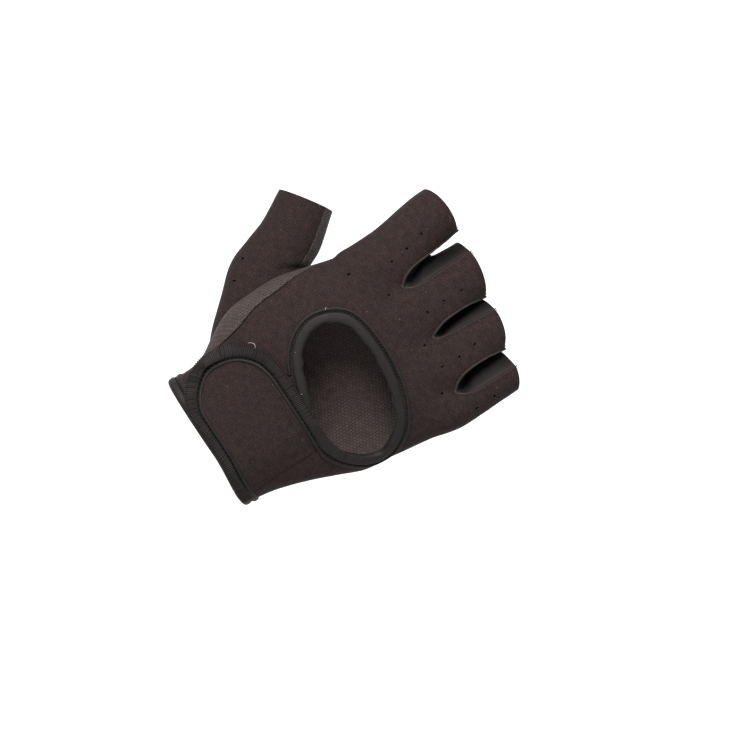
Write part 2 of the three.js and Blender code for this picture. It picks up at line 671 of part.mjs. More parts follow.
// Thumb tube: a point at an angle, v from the opening (0) into the hand (1)
function thumbPoint(degrees, v) {
  const value = (key) => column(THUMB, "at", key, v * (THUMB.length - 1));
  const share = (1 + Math.cos(radians(degrees))) / 2;
  const x = lerp(value("leftX"), value("rightX"), share);
  const y = lerp(value("leftY"), value("rightY"), share);
  return new THREE.Vector3(x, y, value("z") + value("rise") * Math.sin(radians(degrees)));
}

function thumbShell(from, to, thickness) {
  return sheet((u, v) => thumbPoint(lerp(from, to, u), v), steps(9), steps(13), thickness);
}

// A closed tube from rings of points, for cutting
function plug(ringAt, stations, sides) {
  const turns = steps(sides, 0, 360).slice(0, -1);
  const frames = stations.map((v) => turns.map((degrees) => ringAt(degrees, v)));
  const positions = frames.flat();
  const triangles = [];
  for (let r = 0; r < frames.length - 1; r++) {
    for (let k = 0; k < sides; k++) {
      const [a, b] = [r * sides + k, r * sides + ((k + 1) % sides)];
      triangles.push(a, b, b + sides, a, b + sides, a + sides);
    }
  }
  for (let k = 1; k < sides - 1; k++) {
    const last = (frames.length - 1) * sides;
    triangles.push(0, k + 1, k, last, last + k, last + k + 1);
  }
  return facingOut(positions, triangles);
}

// The whole thumb, grown by a distance
function thumbPlug(grow) {
  const centre = (v) => thumbPoint(0, v).lerp(thumbPoint(180, v), 0.5);
  return plug((degrees, v) => {
    const [c, p] = [centre(v), thumbPoint(degrees, v)];
    return p.add(p.clone().sub(c).normalize().multiplyScalar(grow));
  }, steps(14), 24);
}

// The hand's body without fingers, grown by a distance
function bodyPlug(grow) {
  return plug((degrees, v) => {
    const y = lerp(0, 100, v);
    const p = bodyPoint(degrees, y);
    const centre = new THREE.Vector3(section(y).centre, y, level(section(y).centre, y));
    return p.add(p.clone().sub(centre).normalize().multiplyScalar(grow));
  }, steps(20), 72);
}

// A ventilation hole's punch, at a place seen from above
function punch(x, y) {
  return solidOf(new THREE.CylinderGeometry(VENT_R, VENT_R, 80, 6).rotateX(Math.PI / 2).translate(x, y, 0));
}

// The window's hole: a prism inside the binding's middle line, and a channel round the binding
function windowPunch() {
  const middle = windowRail(WINDOW_STEPS, BINDING_WIDTH / 2);
  const ringAt = (reach) => middle.map((f) => f.point.clone().addScaledVector(f.up, reach));
  const rings = [ringAt(REACH), ringAt(-REACH)];
  const sides = middle.length;
  const triangles = [];
  for (let k = 0; k < sides; k++) {
    const b = (k + 1) % sides;
    triangles.push(k, sides + b, b, k, sides + k, sides + b);
    triangles.push(2 * sides, k, b, 2 * sides + 1, sides + b, sides + k);
  }
  const middleOf = (ring) => ring.reduce((sum, p) => sum.add(p), new THREE.Vector3()).divideScalar(sides);
  const centres = rings.map(middleOf);
  centres[0].z += 4;
  centres[1].z += 4;
  const prism = facingOut([...rings[0], ...rings[1], ...centres], triangles);
  const half = BINDING_WIDTH / 2 + GAP;
  const [top, low] = [2, -5];
  const channel = sweep(middle, () => [[half, top], [-half, top], [-half, low], [half, low]], true);
  return prism.add(channel);
}

// Materials
const finish = (color, roughness) => new THREE.MeshStandardMaterial({ color, roughness, metalness: 0 });
const neoprene = finish(0x2c2526, 0.9);
const gripCloth = finish(0x3a3637, 0.85);
const stretchCloth = finish(0x121112, 0.45);
const bindingCloth = finish(0x191819, 0.6);

const glove = new THREE.Group();
function addPiece(name, body, material) {
  const mesh = body.getMesh();
  const geometry = new THREE.BufferGeometry();
  geometry.setAttribute("position", new THREE.Float32BufferAttribute(mesh.vertProperties, 3));
  geometry.setIndex([...mesh.triVerts]);
  geometry.computeVertexNormals();
  const piece = new THREE.Mesh(geometry, material);
  piece.name = name;
  glove.add(piece);
}

const thumbTool = thumbPlug(GAP + 0.1);
const bodyTool = bodyPlug(0.15);

let back = handPanel(false, 8, 15, 5, NEOPRENE).subtract(windowPunch()).subtract(thumbTool);
for (const [x, y] of VENTS) back = back.subtract(punch(x, y));
addPiece("back_panel", largest(back), neoprene);

const palm = handPanel(true, 6, 13, 4, GRIP_CLOTH).subtract(thumbTool);
addPiece("palm_panel", largest(palm), gripCloth);

["index_middle", "middle_ring", "ring_little"].forEach((name, k) =>
  addPiece(`fourchette_${name}`, fourchette(k + 1), stretchCloth));

let thumbBack = thumbShell(THUMB_SEAMS[1], THUMB_SEAMS[0], NEOPRENE).subtract(bodyTool);
for (const [x, y] of THUMB_VENTS) thumbBack = thumbBack.subtract(punch(x, y));
addPiece("thumb_back", largest(thumbBack), neoprene);
// The palm side takes the rest of the way round, with room for the seam at both edges
const thumbPalm = thumbShell(THUMB_SEAMS[0] - 360 + 1.8, THUMB_SEAMS[1] - 1.8, GRIP_CLOTH).subtract(bodyTool);
addPiece("thumb_palm", largest(thumbPalm), gripCloth);

addPiece("window_binding", windowBinding(), bindingCloth);
addPiece("window_piping", windowPiping(), bindingCloth);
addPiece("strap", strapPanel(), neoprene);
addPiece("strap_binding", strapBinding(), bindingCloth);
addPiece("strap_piping", strapPiping(), bindingCloth);
addPiece("wrist_hem", wristHem(), bindingCloth);

export default glove;
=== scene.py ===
# %% [markdown]
# # A half-finger fitness glove
#
# The glove is sewn from a knit-faced neoprene back, a grip-cloth palm, stretchy walls between the
# fingers, a neoprene thumb and a bound strap. It is shown in its worn shape, so each panel is a
# curved sheet with a real thickness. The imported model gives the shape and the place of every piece.
# This file makes the same surfaces again, but finer, and adds what a close look shows: seams, rolled
# edges, ribs, stitches, creases and the cloths themselves.

import json
import math

import bmesh
import bpy
import numpy as np
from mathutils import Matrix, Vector

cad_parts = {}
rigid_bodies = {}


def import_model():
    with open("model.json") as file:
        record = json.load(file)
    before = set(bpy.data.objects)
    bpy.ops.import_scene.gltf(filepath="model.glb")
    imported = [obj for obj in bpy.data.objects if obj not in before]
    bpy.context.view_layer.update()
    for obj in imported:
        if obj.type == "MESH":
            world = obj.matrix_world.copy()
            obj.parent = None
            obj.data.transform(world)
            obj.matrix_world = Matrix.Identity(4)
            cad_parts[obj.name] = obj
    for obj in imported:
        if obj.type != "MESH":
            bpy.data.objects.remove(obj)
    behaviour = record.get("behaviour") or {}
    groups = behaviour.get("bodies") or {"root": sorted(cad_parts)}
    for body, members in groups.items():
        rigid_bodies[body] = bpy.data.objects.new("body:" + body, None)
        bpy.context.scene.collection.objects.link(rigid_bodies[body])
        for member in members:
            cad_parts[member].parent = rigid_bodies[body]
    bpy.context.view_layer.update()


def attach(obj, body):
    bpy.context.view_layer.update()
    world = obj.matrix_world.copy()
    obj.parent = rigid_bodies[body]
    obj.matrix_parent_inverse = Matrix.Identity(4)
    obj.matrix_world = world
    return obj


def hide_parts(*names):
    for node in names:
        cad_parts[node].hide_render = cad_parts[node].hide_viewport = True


for default in list(bpy.data.objects):
    bpy.data.objects.remove(default, do_unlink=True)
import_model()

# %% [markdown]
# ## The worn form
#
# Cloth has no shape of its own, so the glove's worn form comes first. Its body is a row of rounded
# sections from the wrist to the crotches, and each finger is a tube. Millimetres are easier to read
# than metres for cloth, so the tables and the surface functions work in millimetres, and a mesh is
# turned into metres when it is made. X points to the little finger, Y to the finger openings and Z
# out of the back.

# %% Sizes of the form and the cloths
MM = 0.001
NEOPRENE = 2.4
GRIP_CLOTH = 1.8
STRETCH_CLOTH = 1.0
ROLL, ROLL_CENTRE = -0.1, 5.0  # the little-finger side hangs lower
FINGER_SLOPE, KNUCKLE_Y = 0.2, 88.0  # the fingers bend down from the knuckles
BEND_RUN = 30.0  # and the bend takes this far
FINGER_LIFT = 1.0  # a finger's middle lies above the middle of the body
SQUARENESS = 2.3  # exponent of the body's rounded sections
HEM_Y, HEM_WIDTH, HEM_THICKNESS = 2.9, 5.2, 3.6
CUFF_Y = HEM_Y + HEM_WIDTH / 2 - 0.4  # where the panels end in the hem
ULNAR_SEAM = -12.0  # degrees, just under the little-finger edge

# The body's sections: y, left edge, right edge, rise of the back, depth of the palm, seam angle
BODY = np.array([
    (0, -34.5, 34.5, 18.5, 19, 168),
    (10, -33.5, 36, 18.5, 19.5, 166),
    (20, -35, 38.5, 18.5, 20.5, 158),
    (30, -40.6, 42, 18.5, 22, 145),
    (42, -46.2, 47, 18.5, 22.5, 138.5),
    (55, -47.6, 52.5, 18.5, 21, 145.5),
    (70, -47.2, 54.5, 18, 18.5, 149.5),
    (86, -43, 57, 17.5, 16, 167),
    (98, -40, 58.8, 17, 15, 184),
    (112, -39.9, 60.6, 15, 13.5, 193),
    (140, -42, 62, 13, 12, 195),
], dtype=float)
BODY_COLUMNS = {"left": 1, "right": 2, "back": 3, "palm": 4, "seam": 5}

# Finger tubes: edges at the crotch and at the opening, half height, and where the opening is cut
FINGERS = [
    {"root": (-40.3, -6), "tip": (-44, -17.3), "rise": 12.2, "open": (152.3, 154.2, 156.6)},
    {"root": (-15, 23), "tip": (-14, 15.9), "rise": 12.8, "open": (151.5, 148, 154)},
    {"root": (12, 49), "tip": (16.5, 42.2), "rise": 12.2, "open": (147, 142, 148.4)},
    {"root": (40, 61.3), "tip": (42.9, 61.4), "rise": 10.4, "open": (141, 137, 142)},
]
FINGER_ROOT_Y, FINGER_TIP_Y = 116.0, 150.0
OPENING_RAKE, OPENING_CROWN = 2.5, 1.3  # how the openings lean, and how peaked their tops are
SIDE_TRIM = 0.010  # share of a column that the panels stop short of the side seams
PALM_EDGE = 35.0  # degrees up from a finger's lowest side to the edges of the palm cloth
JOINED = 7.0  # neighbouring fingers keep one surface so far beyond their crotch

# Lines between the fingers: x at the wrist, crotch on the back, crotch on the palm
CROTCHES = [
    {"wrist": -9, "x": -10, "y": 118.5, "palm_x": -15.5, "palm_y": 135},
    {"wrist": 9, "x": 18, "y": 117.5, "palm_x": 16.2, "palm_y": 131},
    {"wrist": 22, "x": 45.3, "y": 112, "palm_x": 42.6, "palm_y": 126},
]
SIDE_CROTCH_Y = (116, 109)
PALM_SIDE_Y = (130, 122)

# Edges of the slits: share of the way to the opening, left edge, right edge
SLITS = [
    np.array([(0, -10, -10), (0.06, -12.6, -8), (0.26, -15, -7), (0.6, -16.4, -7), (1, -18.3, -7)]),
    np.array([(0, 18, 18), (0.06, 16.2, 19.6), (0.3, 14.2, 20.3), (0.7, 14, 21.3), (1, 15.4, 22)]),
    np.array([(0, 45.3, 45.3), (0.08, 42.6, 47.8), (0.3, 40.2, 49.5), (0.7, 40, 50), (1, 41.8, 50)]),
]

# The window's inner edge, the thumb's sections and the strap
WINDOW = [(-16, 73), (-11, 84.5), (7, 88.2), (28, 85.6), (43, 78), (49.6, 65),
          (42, 53.2), (27, 47.6), (8, 53), (-10, 61.8)]
WINDOW_MIDDLE = np.array([17, 68, 0])
BINDING_WIDTH, BINDING_PROUD, PIPING_R = 5.6, 0.8, 0.75
THUMB = np.array([
    (-81.8, 94.7, -58.9, 110.3, -2, 12),
    (-74, 79.7, -47.2, 95, -3.5, 12.6),
    (-70.4, 68.7, -42.3, 85, -5, 13),
    (-65.8, 56, -34, 72, -6.5, 13.6),
    (-55.6, 43.8, -25, 58, -6.5, 14),
    (-43.2, 30.2, -15, 42, -4, 12.5),
    (-30, 19, -9, 25, -2, 8.5),
], dtype=float)  # left x, left y, right x, right y, centre z, half height
THUMB_SEAMS, SEAM_TURN = (200.0, 42.0), 1.1  # degrees, and the gap at each seam
THUMB_GAP = 0.22  # the hole in the body's panels is wider than the thumb by this
THUMB_PAST = {"back": 1.4, "palm": 1.6}  # how far the thumb's panels run on through it
THUMB_FOLD = {"start": (-42, 86.3), "way": (-9.1, -15.6)}
STRAP = {"root_x": 31, "low": 6.6, "high": 44.2, "root_drop": 2.6, "binding": 5.2,
         "thickness": 2.4, "lift": 0.55, "over_hem": 1.1}
STRAP_INSET, STRAP_RING = 0.75, 6.2  # from the piping's middle in to the tab, and from there out
# Round the tip: the piping's middle line and the ribbed band's outer edge, from the top to the low side
STRAP_TIP = [(-8.3, 43.45, -8.5, 49.65), (-14.8, 41.9, -16.5, 48.6), (-19.6, 39.0, -23.5, 44.8),
             (-23.6, 34.3, -29.8, 38.2), (-25.6, 27.8, -33.2, 30.0), (-25.5, 21.0, -33.8, 20.5),
             (-23.3, 16.0, -31.0, 13.0), (-20.5, 12.6, -26.6, 7.6), (-17.0, 9.7, -21.5, 3.9),
             (-12.0, 7.35, -14.0, 1.15)]
# Middle of the band and of the piping, from the window's lower edge in to the strap's upper corner
BAND_LINE = [(41.5, 50.6), (37, 48.5), (31.5, 47.1), (25, 46.8), (17, 47.0), (-9, 47.05)]
ROLL_LINE = [(39.2, 44.2), (36, 43.0), (32, 42.5), (27, 42.9), (17, 43.5), (-9, 43.45)]
RIB_PITCH = 0.88  # of the band's elastic

# The slits' round ends, as half width and length, the cloth in them, and the holes of the vents
BLUNT = [(3.6, 5.5), (2.7, 5.0), (4.1, 5.5)]
SPREAD = 4.5  # the back gives way to a round end over this distance
TUCK = 0.7  # share of its slit by which the cloth tucks in under the thumb-side edge
FIRST_OPENS, OPENS_OVER = 0.42, 0.14  # where the first slit's two walls part, as shares of its length
WALL_OPENS, WALL_OPENS_OVER = 132.5, 4.5  # the same place on the wall, as y and its distance
WALL_BEND = 1.7  # how late a wall leaves its edge on the back for the palm's
DIMPLES = [(-11, 111), (18, 110), (42.5, 105)]  # sunk spots below the slits
VENT_R = 0.62
VENTS = [(-26.2, 138.8), (-24, 129.2), (-22.8, 119.9), (-10.5, 110.2), (-28.9, 99.6),
         (6.4, 140.1), (5.9, 130.5), (6.2, 120.8), (18.5, 111.3),
         (31.1, 131.4), (32.1, 122), (31.5, 112.5), (42, 105.6), (56.9, 125.8), (57.2, 115.7)]
THUMB_VENTS = [(-56.8, 53), (-63.6, 62.1)]
print(len(BODY), "sections,", len(FINGERS), "fingers,", len(VENTS) + len(THUMB_VENTS), "vents")

# %% [markdown]
# ### Curves through the tables
#
# A few rows have to give a smooth surface, so each column of a table is read as a Hermite curve whose
# slopes come from the neighbouring rows. It works on whole arrays at once, which keeps a panel of
# thirty thousand points quick. A bell is the other shape that comes back often: it makes the folds,
# grooves and dimples.


# %% Curves through the tables
def column(stations, values, at):
    at = np.asarray(at, dtype=float)
    last = len(stations) - 1
    k = np.clip(np.searchsorted(stations, at, side="left") - 1, 0, last - 1)
    step = stations[k + 1] - stations[k]
    t = np.clip((at - stations[k]) / step, 0, 1)
    before, after = np.maximum(k - 1, 0), np.minimum(k + 2, last)
    m0 = (values[k + 1] - values[before]) / (stations[k + 1] - stations[before]) * step
    m1 = (values[after] - values[k]) / (stations[after] - stations[k]) * step
    return ((2 * t**3 - 3 * t**2 + 1) * values[k] + (t**3 - 2 * t**2 + t) * m0
            + (3 * t**2 - 2 * t**3) * values[k + 1] + (t**3 - t**2) * m1)


def lerp(a, b, t):
    return a + (b - a) * t


def smooth(t):
    t = np.clip(t, 0, 1)
    return t * t * (3 - 2 * t)


def bell(away, width):
    return np.exp(-(away / width) ** 2)


def power(value, exponent):
    return np.sign(value) * np.abs(value) ** exponent


def unit(vectors):
    return vectors / np.maximum(np.linalg.norm(vectors, axis=-1, keepdims=True), 1e-12)


def lengths(points, axis=0):
    """Length so far at each point of a row of points."""
    steps = np.cumsum(np.linalg.norm(np.diff(points, axis=axis), axis=-1), axis=axis)
    return np.concatenate([0 * np.take(steps, [0], axis=axis), steps], axis=axis)


print("left edge at y = 50:", round(float(column(BODY[:, 0], BODY[:, 1], 50)), 2), "mm")


# %% The glove's body and the finger tubes
def level(x, y):
    """Height of the middle of the glove."""
    bend = np.maximum(0, y - KNUCKLE_Y)
    drop = np.where(bend < BEND_RUN, bend**2 / (2 * BEND_RUN), bend - BEND_RUN / 2)
    return ROLL * (x - ROLL_CENTRE) - FINGER_SLOPE * drop


def section(y):
    row = {key: column(BODY[:, 0], BODY[:, n], y) for key, n in BODY_COLUMNS.items()}
    row["centre"] = (row["left"] + row["right"]) / 2
    row["half"] = (row["right"] - row["left"]) / 2
    return row


def body_point(degrees, y):
    degrees, y = np.broadcast_arrays(np.asarray(degrees, float), np.asarray(y, float))
    s = section(y)
    c, r = np.cos(np.radians(degrees)), np.sin(np.radians(degrees))
    x = s["centre"] + s["half"] * power(c, 2 / SQUARENESS)
    z = level(x, y) + np.where(r > 0, s["back"], s["palm"]) * power(r, 2 / SQUARENESS)
    return np.stack([x, y, z], axis=-1)


def body_angle(x, y):
    s = section(y)
    share = np.clip((x - s["centre"]) / s["half"], -1, 1)
    return np.degrees(np.arccos(power(share, SQUARENESS / 2)))


def finger_tube(i, y):
    f = FINGERS[i]
    t = smooth((y - FINGER_ROOT_Y) / (FINGER_TIP_Y - FINGER_ROOT_Y))
    left, right = (lerp(f["root"][side], f["tip"][side], t) for side in (0, 1))
    return (left + right) / 2, (right - left) / 2


def finger_point(i, degrees, y):
    degrees, y = np.broadcast_arrays(np.asarray(degrees, float), np.asarray(y, float))
    centre, half = finger_tube(i, y)
    x = centre + half * np.cos(np.radians(degrees))
    z = level(centre, y) + FINGER_LIFT + FINGERS[i]["rise"] * np.sin(np.radians(degrees))
    return np.stack([x, y, z], axis=-1)


def finger_angle(i, x, y):
    centre, half = finger_tube(i, y)
    return np.degrees(np.arccos(np.clip((x - centre) / half, -1, 1)))


def opening_y(i, degrees):
    left, right, top = FINGERS[i]["open"]
    side = lerp(left, right, (1 + np.cos(np.radians(degrees))) / 2)
    up = np.sin(np.radians(degrees))
    crown = (top - (left + right) / 2) * np.abs(up) ** OPENING_CROWN
    return side + np.where(up > 0, crown, OPENING_RAKE * up)


# %% [markdown]
# ### Panels that part into fingers
#
# The back and the palm are each one sheet that is slit between the fingers. Four columns run side
# by side from the cuff, one to a finger. Below a crotch two neighbours share their line; above it
# each one wraps its own finger. The blend from the flat body to the tubes starts at the knuckles,
# so the shallow valleys between the fingers come by themselves.


# %% Lines between the columns
def crotch_y(j, palm):
    if j in (0, 4):
        return (PALM_SIDE_Y if palm else SIDE_CROTCH_Y)[j // 4]
    return CROTCHES[j - 1]["palm_y" if palm else "y"]


def column_x(j, y, palm):
    c = CROTCHES[j - 1]
    on_back = lerp(c["wrist"], c["x"], np.minimum(1, y / c["y"]))
    if not palm:
        return on_back
    further = lerp(c["x"], c["palm_x"], np.clip((y - c["y"]) / (c["palm_y"] - c["y"]), 0, 1))
    return np.where(y > c["y"], further, on_back)


def outer_angle(j, y, palm):
    """Angle of the seam at the thumb side, which is line 0, or at the little-finger side, line 4."""
    if j == 0:
        return section(y)["seam"]
    return np.full_like(y, 360 + ULNAR_SEAM if palm else ULNAR_SEAM)


def edge_angle(i, side, y, palm):
    """Angle on its finger of one edge of column i, where side 0 is nearer to the thumb."""
    j = i + side
    if j in (0, 4):
        return outer_angle(j, y, palm)
    ridge = crotch_y(j, palm)
    joined = finger_angle(i, column_x(j, y, palm), y)
    if palm:
        start = 360 - finger_angle(i, CROTCHES[j - 1]["palm_x"], np.full_like(y, ridge))
        parted = lerp(start, 360 - PALM_EDGE if side else 180 + PALM_EDGE, smooth((y - ridge) / 8))
        return np.where(y <= ridge, 360 - joined, parted)
    along = (y - ridge) / (FINGERS[i]["open"][1 if side else 0] - ridge)
    slit = SLITS[j - 1]
    parted = finger_angle(i, column(slit[:, 0], slit[:, 1 if side else 2], along), y)
    return np.where(y <= ridge, joined, parted)


def body_edge_angle(j, y, palm):
    """Angle on the body of line j between the columns."""
    if j in (0, 4):
        return outer_angle(j, y, palm)
    angle = body_angle(column_x(j, y, palm), y)
    return 360 - angle if palm else angle


def root_drop(x):
    """How far the cuff's edge drops towards the wrist beside the strap's root."""
    return STRAP["root_drop"] * smooth((x - 8) / 26)


# %% Points of the panels
def raw_point(i, share, y, palm):
    finger = finger_point(i, lerp(edge_angle(i, 0, y, palm), edge_angle(i, 1, y, palm), share), y)
    ridge = lerp(crotch_y(i, palm), crotch_y(i + 1, palm), share)
    body = body_point(lerp(body_edge_angle(i, y, palm), body_edge_angle(i + 1, y, palm), share), y)
    blend = smooth((y - KNUCKLE_Y) / (ridge - KNUCKLE_Y))[..., None]
    return lerp(body, finger, blend)


def panel_point(i, share, v, palm):
    """Point of column i: share runs across it, v from the cuff (0) by the crotch (1) to the end (2)."""
    share, v = np.broadcast_arrays(np.asarray(share, float), np.asarray(v, float))
    ridge = lerp(crotch_y(i, palm), crotch_y(i + 1, palm), share)
    tip = np.full_like(share, FINGER_TIP_Y)
    end = lerp(edge_angle(i, 0, tip, palm), edge_angle(i, 1, tip, palm), share)
    base = np.full_like(share, CUFF_Y)
    at_cuff = lerp(body_edge_angle(i, base, palm), body_edge_angle(i + 1, base, palm), share)
    cuff = CUFF_Y - root_drop(body_point(at_cuff, base)[..., 0])
    y = np.where(v <= 1, lerp(cuff, ridge, v), lerp(ridge, opening_y(i, end), v - 1))
    point = raw_point(i, share, y, palm)
    for side in (0, 1):
        j = i + side
        if j in (0, 4):
            continue
        beyond = np.maximum(0, y - crotch_y(j, palm))
        hold = (1 - smooth(beyond / JOINED)) * smooth(share if side else 1 - share)
        mine = raw_point(i, np.full_like(share, side), y, palm)
        theirs = raw_point(i + 2 * side - 1, np.full_like(share, 1 - side), y, palm)
        point = point + (theirs - mine) * (hold / 2)[..., None]
    return point


crotch = panel_point(0, 1.0, 1.0, False)
print("crotch between index and middle finger", np.round(crotch, 1))


# %% Inside the slits
def midway_x(j, y):
    """Below the slit two fingers touch, and each wall keeps to its own side of this line."""
    (first, half), (second, other) = finger_tube(j - 1, y), finger_tube(j, y)
    return (first + half + second - other) / 2


def blunt(j, beyond):
    """Least half width of slit j at a distance beyond its crotch, which makes its end round."""
    wide, tall = BLUNT[j - 1]
    short = np.clip(1 - beyond / tall, 0, 1)
    return np.where(beyond > 0, wide * np.sqrt(1 - short**2), 0)


def slit_legs(j, inset):
    """Both edges of a slit in the back, from its crotch to the openings."""
    v = np.linspace(1, 2, 90)
    return panel_point(j - 1, 1.0 - inset, v, False), panel_point(j, inset, v, False)


def part(points):
    """Spreads the back beside each crotch, so that the slits end round."""
    moved = points.copy()
    for j in (1, 2, 3):
        legs = slit_legs(j, 0.0)
        low, high = (np.interp(points[..., 1], leg[:, 1], leg[:, 0]) for leg in legs)
        middle, half = (low + high) / 2, (high - low) / 2
        least = blunt(j, points[..., 1] - CROTCHES[j - 1]["y"])
        more = (np.maximum(half, 0) ** 4 + least**4) ** 0.25 - half
        away = points[..., 0] - middle
        push = more * bell(np.abs(away) - half, SPREAD)
        moved[..., 0] = moved[..., 0] + np.sign(away) * push
    return moved


def slit_sides(j, y):
    """The x of both edges of a slit in the back."""
    return [np.interp(y, leg[:, 1], leg[:, 0]) for leg in map(part, slit_legs(j, 0.001))]


def lean(points):
    """Tucks the cloth that shows in a slit in under the thumb-side edge."""
    moved, y = points.copy(), points[..., 1]
    for j in (1, 2, 3):
        start, end = CROTCHES[j - 1]["y"], float(opening_y(j, 160))
        low, high = slit_sides(j, y)
        wide = np.maximum(high - low, 0.01)
        t = (points[..., 0] - low) / wide
        meet = np.clip((midway_x(j, y) - low) / wide, 0.1, 0.9)
        along = (y - start) / (end - start)
        open_end = smooth((along - FIRST_OPENS) / OPENS_OVER) if j == 1 else 0.0
        far = t - (1 - t) / (1 - meet) * TUCK * meet * (1 - 0.8 * open_end)
        new = np.where(t < meet, (1 - TUCK) * t, far)
        inside = (t > 0) & (t < 1) & (y > start)
        moved[..., 0] = np.where(inside, low + new * wide, moved[..., 0])
    return moved


# %% Points and normals of the bare body
def on_body(point):
    """The point's place on the body's surface, seen from the middle of its section."""
    s = section(point[..., 1])
    dx = point[..., 0] - s["centre"]
    dz = point[..., 2] - level(point[..., 0], point[..., 1])
    tall = np.where(dz > 0, s["back"], s["palm"])
    size = ((np.abs(dx) / s["half"]) ** SQUARENESS
            + (np.abs(dz) / tall) ** SQUARENESS) ** (1 / SQUARENESS)
    x = s["centre"] + dx / size
    return np.stack([x, point[..., 1], level(x, point[..., 1]) + dz / size], axis=-1)


def on_back(x, y):
    """The point of the back above a place."""
    return body_point(body_angle(x, y), y)


def body_normal(point):
    side = body_angle(point[..., 0], point[..., 1])
    upper = point[..., 2] > level(point[..., 0], point[..., 1])
    angle, y = np.where(upper, side, 360 - side), point[..., 1]
    across = body_point(angle - 0.5, y) - body_point(angle + 0.5, y)
    along = body_point(angle, y + 0.5) - body_point(angle, y - 0.5)
    return unit(np.cross(across, along))


# %% [markdown]
# ## From points to cloth
#
# Every piece below starts as a grid of points. The helpers here keep three things the same for all
# of them: the corners carry a flat cloth coordinate measured in real lengths, so that a rib or a
# weave keeps its size however the cloth curves, the faces point outwards, and the result is one
# closed piece. Cloth is never perfectly even, so a small smooth noise moves each surface along its
# own normal. The noise is worked out from the place itself and a seed, so it is the same each time.


# %% Meshes from grids
def link(name, data):
    obj = bpy.data.objects.new(name, data)
    bpy.context.scene.collection.objects.link(obj)
    return obj


def build(name, points, faces, corner_uv):
    """A smooth-shaded mesh from points in millimetres; corner_uv holds one pair for each corner."""
    mesh = bpy.data.meshes.new(name)
    mesh.from_pydata((np.asarray(points) * MM).tolist(), [], [list(map(int, f)) for f in faces])
    layer = mesh.uv_layers.new(name="cloth")
    layer.data.foreach_set("uv", (np.asarray(corner_uv, dtype=np.float32) * MM).ravel())
    mesh.update()
    return link(name, mesh)


def tidy(obj, sharp=42.0):
    """Merges doubles, turns the normals outwards and keeps real corners crisp."""
    bm = bmesh.new()
    bm.from_mesh(obj.data)
    bmesh.ops.remove_doubles(bm, verts=bm.verts, dist=0.00001)
    bmesh.ops.dissolve_degenerate(bm, edges=bm.edges, dist=0.000002)
    bmesh.ops.recalc_face_normals(bm, faces=bm.faces)
    bm.to_mesh(obj.data)
    bm.free()
    obj.data.shade_smooth()
    obj.data.set_sharp_from_angle(angle=math.radians(sharp))
    return obj


def grid_quads(index):
    """Corners of each square of a grid of point numbers."""
    corners = (index[:-1, :-1], index[:-1, 1:], index[1:, 1:], index[1:, :-1])
    return np.stack(corners, axis=-1).reshape(-1, 4)


def grid_normals(points):
    """Normals of a grid of points, rows along and columns across."""
    return unit(np.cross(np.gradient(points, axis=1), np.gradient(points, axis=0)))


def smooth_noise(points, cell, seed):
    """Smooth noise from -1 to 1 on a lattice whose cells measure `cell` millimetres."""
    q = np.asarray(points) / cell + 31.7 * seed
    base = np.floor(q).astype(np.int64)
    f = q - base
    f = f * f * (3 - 2 * f)
    total = np.zeros(q.shape[:-1])
    for corner in range(8):
        d = [(corner >> axis) & 1 for axis in range(3)]
        mix = ((base[..., 0] + d[0]) * 73856093 ^ (base[..., 1] + d[1]) * 19349663
               ^ (base[..., 2] + d[2]) * 83492791 ^ (seed * 40503))
        mix = (mix ^ (mix >> 13)) * 1274126177
        value = ((mix ^ (mix >> 16)) & 0xFFFF) / 32767.5 - 1
        weight = np.prod([np.where(d[a], f[..., a], 1 - f[..., a]) for a in range(3)], axis=0)
        total += value * weight
    return total


def path_noise(run, cell, seed):
    """Smooth noise along a path, from the length so far."""
    return smooth_noise(np.stack([run, 0 * run, 0 * run], axis=1), cell, seed)


def hang(points, amount, seed):
    """How far a panel's surface wanders from the smooth form, in millimetres."""
    return amount * (smooth_noise(points, 13, seed) + 0.4 * smooth_noise(points, 4.5, seed + 1))


# %% [markdown]
# A panel is a slab: an outer face, an inner face and a rim. The rim of sewn neoprene isn't a knife
# edge, so its two corners are rolled over by a small bevel before anything is cut out of it.


# %% Slabs with a rolled rim
def slab(name, outer, inner, quads, uv, roll=0.45):
    """Two faces of a cloth and the rim between them, whose corners are rolled over."""
    count = len(outer)
    quads = np.asarray(quads)
    edges = np.concatenate([quads[:, [k, (k + 1) % 4]] for k in range(4)])
    forward = edges[:, 0].astype(np.int64) * count + edges[:, 1]
    backward = edges[:, 1].astype(np.int64) * count + edges[:, 0]
    rim = edges[~np.isin(forward, backward)]
    walls = np.stack([rim[:, 0], rim[:, 0] + count, rim[:, 1] + count, rim[:, 1]], axis=1)
    faces = np.concatenate([quads, quads[:, ::-1] + count, walls])
    both = np.concatenate([uv, uv])
    obj = build(name, np.concatenate([outer, inner]), faces, both[faces.ravel()])
    bm = bmesh.new()
    bm.from_mesh(obj.data)
    pairs = {frozenset(pair) for pair in np.concatenate([rim, rim + count]).tolist()}
    sharp = [edge for edge in bm.edges if frozenset(vert.index for vert in edge.verts) in pairs]
    bmesh.ops.bevel(bm, geom=sharp, offset=roll * MM, segments=3, profile=0.5, affect="EDGES",
                    clamp_overlap=True)
    bm.to_mesh(obj.data)
    bm.free()
    return tidy(obj)


